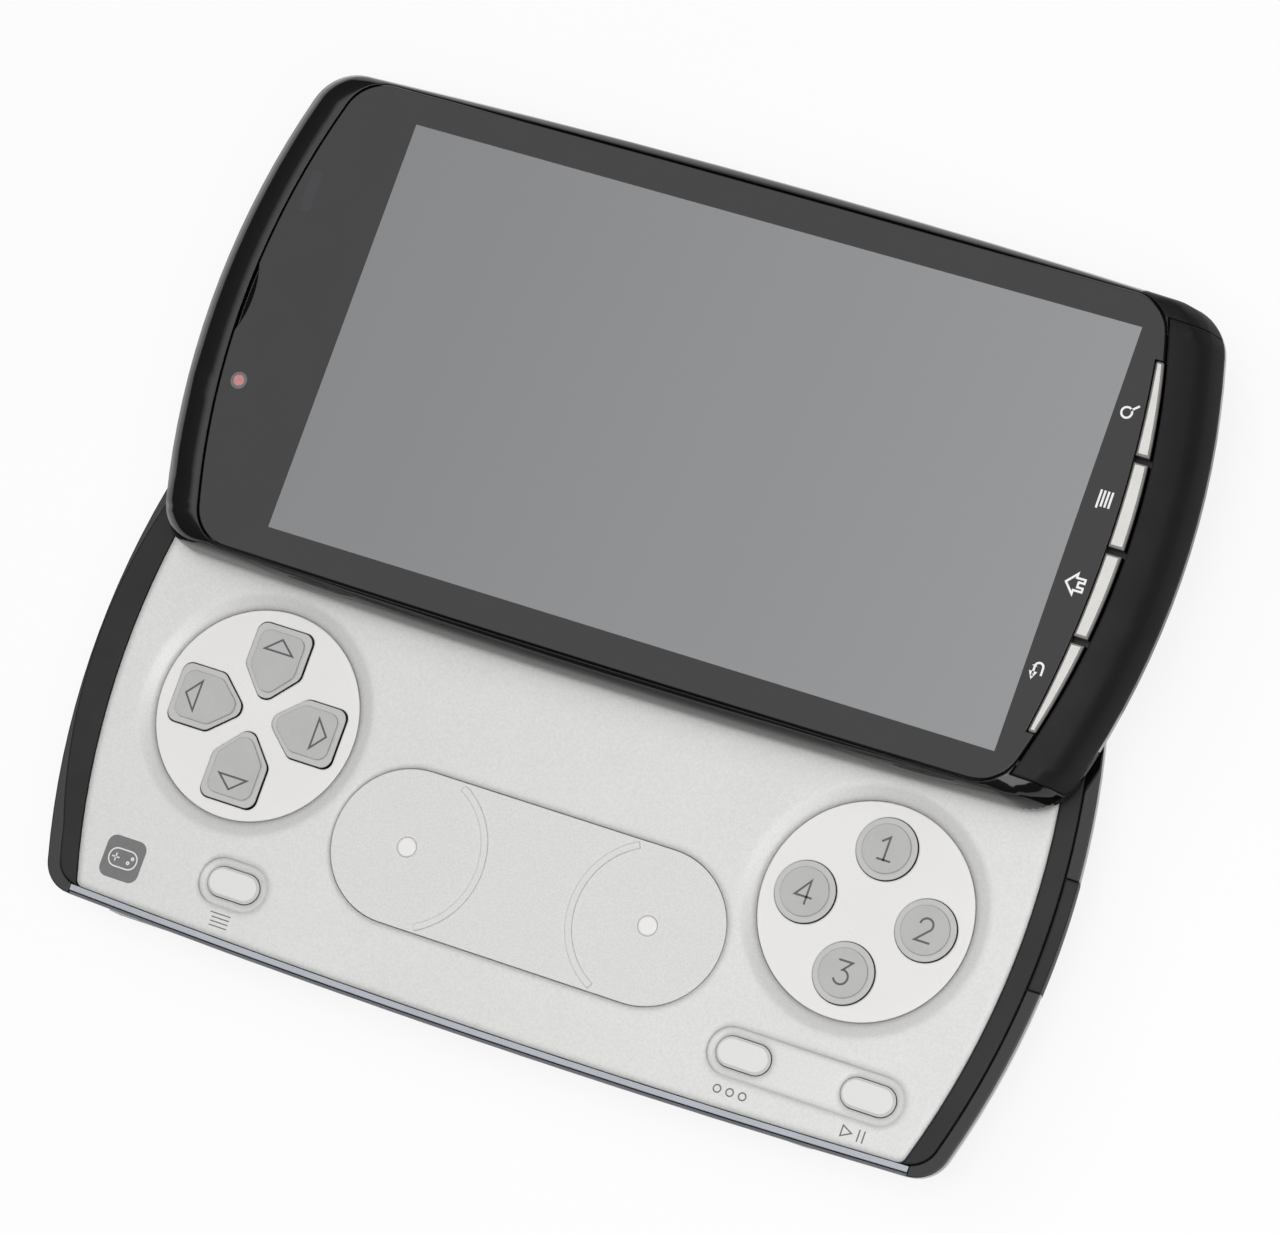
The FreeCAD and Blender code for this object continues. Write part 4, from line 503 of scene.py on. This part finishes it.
def add_shading_group(degrees):
    """Nodes that shade a mesh smooth across edges gentler than an angle."""
    group = bpy.data.node_groups.new("shade_%d" % degrees, "GeometryNodeTree")
    for direction in ("INPUT", "OUTPUT"):
        group.interface.new_socket("Geometry", in_out=direction, socket_type="NodeSocketGeometry")
    start = group.nodes.new("NodeGroupInput")
    end = group.nodes.new("NodeGroupOutput")
    merge = group.nodes.new("GeometryNodeMergeByDistance")
    merge.inputs["Distance"].default_value = WELD * MM
    angle = group.nodes.new("GeometryNodeInputMeshEdgeAngle")
    gentle = group.nodes.new("FunctionNodeCompare")
    gentle.operation = "LESS_THAN"
    gentle.inputs[1].default_value = math.radians(degrees)
    faces = group.nodes.new("GeometryNodeSetShadeSmooth")
    edges = group.nodes.new("GeometryNodeSetShadeSmooth")
    edges.domain = "EDGE"
    group.links.new(start.outputs[0], merge.inputs["Geometry"])
    group.links.new(merge.outputs[0], faces.inputs["Geometry"])
    group.links.new(faces.outputs[0], edges.inputs["Geometry"])
    group.links.new(angle.outputs["Unsigned Angle"], gentle.inputs[0])
    group.links.new(gentle.outputs[0], edges.inputs["Shade Smooth"])
    group.links.new(edges.outputs[0], end.inputs[0])
    return group


def shade_frame():
    """Smooth the facets of curved faces, and curled pieces also across their folds."""
    flat = add_shading_group(FACET_ANGLE)
    rolled = add_shading_group(FOLD_ANGLE)
    for name, piece in nodes.items():
        curled = name in CURLED_PIECES
        shading = piece.modifiers.new("shading", "NODES")
        shading.node_group = rolled if curled else flat
        if curled:
            weighting = piece.modifiers.new("weighting", "WEIGHTED_NORMAL")
            weighting.keep_sharp = True


# How marks and small pieces are made. Their outlines are in millimetres about their own middle,
# and the places of those middles are in metres.

INK = 0.012  # height of printed marks, mm
SHARPEST_MITRE = 0.35  # cosine of half a corner's turn, under which its mitre is cut short
CROWN_RINGS = ((1.0, 0.0), (0.94, 0.5), (0.7, 0.9))  # shares of the outline and of the crown
ON_GLASS = {"body": "screen", "slot": "front_glass"}


def add_piece(name, made, material, place, turn, body):
    bmesh.ops.recalc_face_normals(made, faces=made.faces)
    mesh = bpy.data.meshes.new(name)
    made.to_mesh(mesh)
    made.free()
    mesh.materials.append(material)
    piece = bpy.data.objects.new(name, mesh)
    piece.matrix_world = Matrix.Translation(place) @ Matrix.Rotation(math.radians(turn), 4, "Z")
    bpy.context.scene.collection.objects.link(piece)
    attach(piece, body)


def offset_sides(points, closed, width):
    """The two sides of a stroke of some width along points, mitred at its corners."""
    left, right = [], []
    count = len(points)
    for i, point in enumerate(points):
        into = (point - points[i - 1]).normalized() if i or closed else None
        out = (points[(i + 1) % count] - point).normalized() if i < count - 1 or closed else None
        edge = into or out
        along = (edge + (out or into)).normalized()
        across = Vector((-along.y, along.x))
        reach = width / 2 / max(SHARPEST_MITRE, across.dot(Vector((-edge.y, edge.x))))
        cap = Vector((0, 0))
        if into is None:
            cap = -out * width / 2
        if out is None:
            cap = into * width / 2
        left.append(point + across * reach + cap)
        right.append(point - across * reach + cap)
    return left, right


def add_strokes(name, strokes, width, material, place, turn=0.0, body="base", slot="key_grey"):
    """Ink drawn as strokes of one width. A stroke is a list of points, closed when its first
    point comes again at its end."""
    made = bmesh.new()
    for stroke in strokes:
        closed = stroke[0] == stroke[-1]
        points = [Vector(point) for point in (stroke[:-1] if closed else stroke)]
        sides = offset_sides(points, closed, width)
        low_left, low_right, high_left, high_right = [
            [made.verts.new((corner.x * MM, corner.y * MM, level * MM)) for corner in side]
            for level in (0.0, INK) for side in sides]
        count = len(points)
        for i in range(count if closed else count - 1):
            j = (i + 1) % count
            made.faces.new((high_left[i], high_left[j], high_right[j], high_right[i]))
            made.faces.new((low_left[i], low_right[i], low_right[j], low_left[j]))
            made.faces.new((low_left[i], low_left[j], high_left[j], high_left[i]))
            made.faces.new((low_right[i], high_right[i], high_right[j], low_right[j]))
        if not closed:
            for i in (0, count - 1):
                made.faces.new((low_left[i], high_left[i], high_right[i], low_right[i]))
    add_piece(name, made, material, place, turn, body)


def add_button(name, outline, height, crown, material, place, body="base", slot="pearl"):
    """A low piece with an upright edge and a top that rises by a crown towards its middle. The
    outline doesn't repeat its first point."""
    made = bmesh.new()
    levels = [(1.0, 0.0)] + [(share, height + crown * rise) for share, rise in CROWN_RINGS]
    rings = [[made.verts.new((x * share * MM, y * share * MM, level * MM)) for x, y in outline]
             for share, level in levels]
    tip = made.verts.new((0, 0, (height + crown) * MM))
    count = len(outline)
    for lower, upper in zip(rings, rings[1:]):
        for i in range(count):
            j = (i + 1) % count
            made.faces.new((lower[i], lower[j], upper[j], upper[i]))
    for i in range(count):
        made.faces.new((rings[-1][i], rings[-1][(i + 1) % count], tip))
    made.faces.new(rings[0][::-1])
    for face in made.faces:
        face.smooth = crown > 0 and len(face.verts) < 5
    add_piece(name, made, material, place, 0.0, body)


def ring(radius, count=40, centre=(0, 0), start=0.0, end=360.0):
    """Points along an arc. A full turn ends on its first point."""
    steps = [math.radians(start + (end - start) * i / count) for i in range(count + 1)]
    points = [(centre[0] + radius * math.cos(a), centre[1] + radius * math.sin(a)) for a in steps]
    if end - start == 360.0:
        points[-1] = points[0]
    return points


def rounded_box(width, height, radius, count=8):
    """Points round a rectangle with round corners, which end on the first."""
    x, y = width / 2 - radius, height / 2 - radius
    points = []
    for corner_x, corner_y, start in ((x, y, 0), (-x, y, 90), (-x, -y, 180), (x, -y, 270)):
        points += ring(radius, count, (corner_x, corner_y), start, start + 90)
    return points + points[:1]


# Marks on the keys and on the plate, in millimetres

ARROW_STROKE = 0.23
DIGIT_STROKE = 0.24
LINE_STROKE = 0.13
SIGN_STROKE = 0.16
SIGN_Y = -26.95  # middle of the signs under the small keys
BADGE_X, BADGE_Y = -46.7, -23.8
BADGE_SIDE = 4.9
BADGE_ROUND = 1.1
BADGE_RISE = 0.02
DOT_X, DOT_Y = 14.86, -12.53
DOT_RADIUS = 1.18


def add_key_marks():
    """Arrows on the direction keys, all drawn about the middle of their disc, and digits."""
    grey = ink("mark_grey", (0.085, 0.085, 0.085))
    arrow = [(-1.75, 7.5), (1.75, 7.5), (0, 9.0), (-1.75, 7.5)]
    centre = middle("dpad_disc")
    place = (centre.x, centre.y, KEY_TOP)
    for name, turn in zip(DIRECTION_KEYS, (0, 90, 180, 270)):
        add_strokes(name + "_arrow", [arrow], ARROW_STROKE, grey, place, turn, body=name)
    digits = {
        "key_one": [[(-0.62, 0.7), (0.1, 1.3), (0.1, -1.3)], [(-0.6, -1.3), (0.8, -1.3)]],
        "key_two": [ring(0.75, 14, (0, 0.55), 170, -30) + [(-0.8, -1.3), (0.85, -1.3)]],
        "key_three": [[(-0.75, 1.3), (0.75, 1.3), (-0.1, 0.3)]
                      + ring(0.82, 14, (-0.08, -0.5), 82, -150)],
        "key_four": [[(0.42, -1.3), (0.42, 1.3), (-0.95, -0.55), (0.95, -0.55)]],
    }
    for name, strokes in digits.items():
        centre = middle(name)
        place = (centre.x, centre.y, KEY_TOP)
        add_strokes(name + "_digit", strokes, DIGIT_STROKE, grey, place, body=name)


def add_plate_marks():
    """A menu, three circles, and a play and pause sign, each under its small key."""
    grey = ink("plate_ink", (0.13, 0.13, 0.13))
    lines = [[(-1.35, 0.72), (1.05, 0.72)]] + [[(-1.05, y), (1.05, y)] for y in (0.24, -0.24, -0.72)]
    circles = [ring(0.42, 20, (x, 0)) for x in (-1.5, 0, 1.5)]
    play = [(-1.5, 0.6), (-1.5, -0.6), (-0.35, 0), (-1.5, 0.6)]
    pause = [[(x, 0.6), (x, -0.6)] for x in (0.45, 1.05)]
    signs = (
        ("menu_mark", "menu_key", lines, LINE_STROKE),
        ("select_mark", "select_key", circles, SIGN_STROKE),
        ("start_mark", "start_key", [play] + pause, SIGN_STROKE),
    )
    for name, key, strokes, width in signs:
        place = (middle(key).x, SIGN_Y * MM, PLATE_TOP)
        add_strokes(name, strokes, width, grey, place, slot="silver_plate")


def add_badge():
    """A plain grey tile with the outline of a game pad."""
    tile = rounded_box(BADGE_SIDE, BADGE_SIDE, BADGE_ROUND)[:-1]
    grey = ink("badge_grey", (0.158, 0.158, 0.158))
    place = (BADGE_X * MM, BADGE_Y * MM, PLATE_TOP)
    add_button("badge_tile", tile, BADGE_RISE, 0.0, grey, place, slot="silver_plate")
    pad = [rounded_box(3.5, 2.1, 1.0), [(-1.3, 0), (-0.5, 0)], [(-0.9, 0.4), (-0.9, -0.4)],
           ring(0.14, 12, (0.75, -0.3)), ring(0.14, 12, (1.15, 0.3))]
    pale = ink("badge_pale", (0.75, 0.75, 0.74))
    place = (BADGE_X * MM, BADGE_Y * MM, PLATE_TOP + BADGE_RISE * MM)
    add_strokes("badge_pad", pad, SIGN_STROKE, pale, place, slot="silver_plate")


def add_touchpad_dots():
    white = pearl("dot_white", (0.80, 0.79, 0.77))
    dot = ring(DOT_RADIUS)[:-1]
    for name, x in (("pad_dot_left", -DOT_X), ("pad_dot_right", DOT_X)):
        place = (x * MM, DOT_Y * MM, PAD_TOP)
        add_button(name, dot, height=0.04, crown=0.05, material=white, place=place)


# Marks, windows and mesh on the glass, in millimetres, with Y from the middle of the glass

GLASS_STROKE = 0.24
SENSOR_X, SENSOR_Y = -50.6, 13.8
LENS_RING = 1.0  # radius
LENS_MIDDLE = 0.66  # radius
GLASS_ROUND = 86  # plan radius of the glass ends
NOTCH_ROUND = 11.8  # radius of the earpiece notch
NOTCH_REACH = 1.0  # depth of the earpiece notch
MESH_HALF = 4.3  # half the length of the mesh in the notch
MESH_THICK = 0.3
MESH_GAP = 0.04  # between the mesh and the notch's wall
MESH_INSET = 0.03  # of the mesh's outer edge from the end of the glass
MESH_LEAST = 0.05  # least width of the mesh
MESH_ROWS = 14


def add_glass_marks():
    """A magnifier, a menu, a house and a back arrow, each beside its front key."""
    white = ink("white_ink", (0.85, 0.85, 0.85))
    search = [ring(0.6, 28, (0, -0.1)), [(0.45, 0.3), (1.1, 0.85)]]
    menu = [[(-1.05, 0.66), (0.8, 0.66)]] + [[(-0.8, y), (0.8, y)] for y in (0.22, -0.22, -0.66)]
    home = [[(-1.15, 0.05), (0, 1.1), (1.15, 0.05), (0.7, 0.05), (0.7, -0.95), (0.28, -0.95),
             (0.28, -0.3), (-0.28, -0.3), (-0.28, -0.95), (-0.7, -0.95), (-0.7, 0.05),
             (-1.15, 0.05)]]
    back = [[(-0.4, 0.45), (0.3, 0.45)] + ring(0.48, 12, (0.3, -0.03), 90, -90) + [(-0.45, -0.51)],
            [(-0.4, 0.73), (-0.95, 0.45), (-0.4, 0.17), (-0.4, 0.73)],
            [(-0.7, 0.45), (-0.45, 0.45)]]
    marks = (
        ("search_mark", search, 48.9, 15.1, 0),
        ("menu_lines", menu, 49.8, 5.2, 90),
        ("home_mark", home, 49.8, -4.6, 90),
        ("back_mark", back, 49.0, -14.7, 90),
    )
    for name, strokes, x, y, turn in marks:
        place = (x * MM, SCREEN_Y + y * MM, GLASS_TOP)
        add_strokes(name, strokes, GLASS_STROKE, white, place, turn, **ON_GLASS)


def add_glass_windows():
    """The light sensor's window and the front camera, drawn on the glass as they show through it."""
    smoked = Look("smoked", (0.013, 0.013, 0.019), 0.05)
    smoked.mottle(0.8, 0.1)
    smoked.worn(2.0, 0.04, 0.07)
    bar = rounded_box(width=1.3, height=5.0, radius=0.6)[:-1]
    place = (SENSOR_X * MM, SCREEN_Y + SENSOR_Y * MM, GLASS_TOP)
    add_button("sensor_window", bar, height=0.002, crown=0.0, material=smoked.material, place=place,
               **ON_GLASS)
    grey = ink("lens_grey", (0.14, 0.13, 0.13))
    lens = middle("front_camera")
    place = (lens.x, lens.y, GLASS_TOP)
    add_button("lens_ring", ring(LENS_RING)[:-1], height=0.006, crown=0.0, material=grey,
               place=place, **ON_GLASS)
    pink = Look("lens_pink", (0.50, 0.16, 0.16), 0.12, coat_weight=0.8)
    pink.mottle(0.5, 0.15)
    pink.grain(0.6, 0.002)
    add_button("lens_middle", ring(LENS_MIDDLE)[:-1], height=0.012, crown=0.006,
               material=pink.material, place=place, **ON_GLASS)


def add_earpiece_mesh():
    """The strip of fine mesh in the notch at the left end of the glass."""
    black = Look("mesh_black", (0.002, 0.002, 0.002), 0.7, specular_ior_level=0.1)
    black.mottle(0.25, 0.5)
    black.grain(0.22, 0.03)
    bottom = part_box("touch_glass")[0]
    end = bottom.x / MM
    made = bmesh.new()
    rows = []
    for i in range(MESH_ROWS + 1):
        y = MESH_HALF * (2 * i / MESH_ROWS - 1)
        notch = end + NOTCH_REACH - NOTCH_ROUND + math.sqrt(NOTCH_ROUND ** 2 - y ** 2) - MESH_GAP
        edge = min(end + MESH_INSET + y ** 2 / 2 / GLASS_ROUND, notch - MESH_LEAST)
        rows.append([made.verts.new((x * MM, y * MM, z * MM))
                     for z in (0, MESH_THICK) for x in (edge, notch)])
    for first, second in zip(rows, rows[1:]):
        for a, b in ((0, 1), (1, 3), (3, 2), (2, 0)):
            made.faces.new((first[a], first[b], second[b], second[a]))
    for row in (rows[0], rows[-1]):
        made.faces.new((row[0], row[1], row[3], row[2]))
    place = (0, SCREEN_Y, bottom.z)
    add_piece("earpiece_mesh", made, black.material, place, 0.0, "screen")


add_camera()
add_world()
add_key_light()
add_floor()
dress_frame()
shade_frame()
add_key_marks()
add_plate_marks()
add_badge()
add_touchpad_dots()
add_glass_marks()
add_glass_windows()
add_earpiece_mesh()

bpy.context.scene.view_settings.view_transform = "Standard"
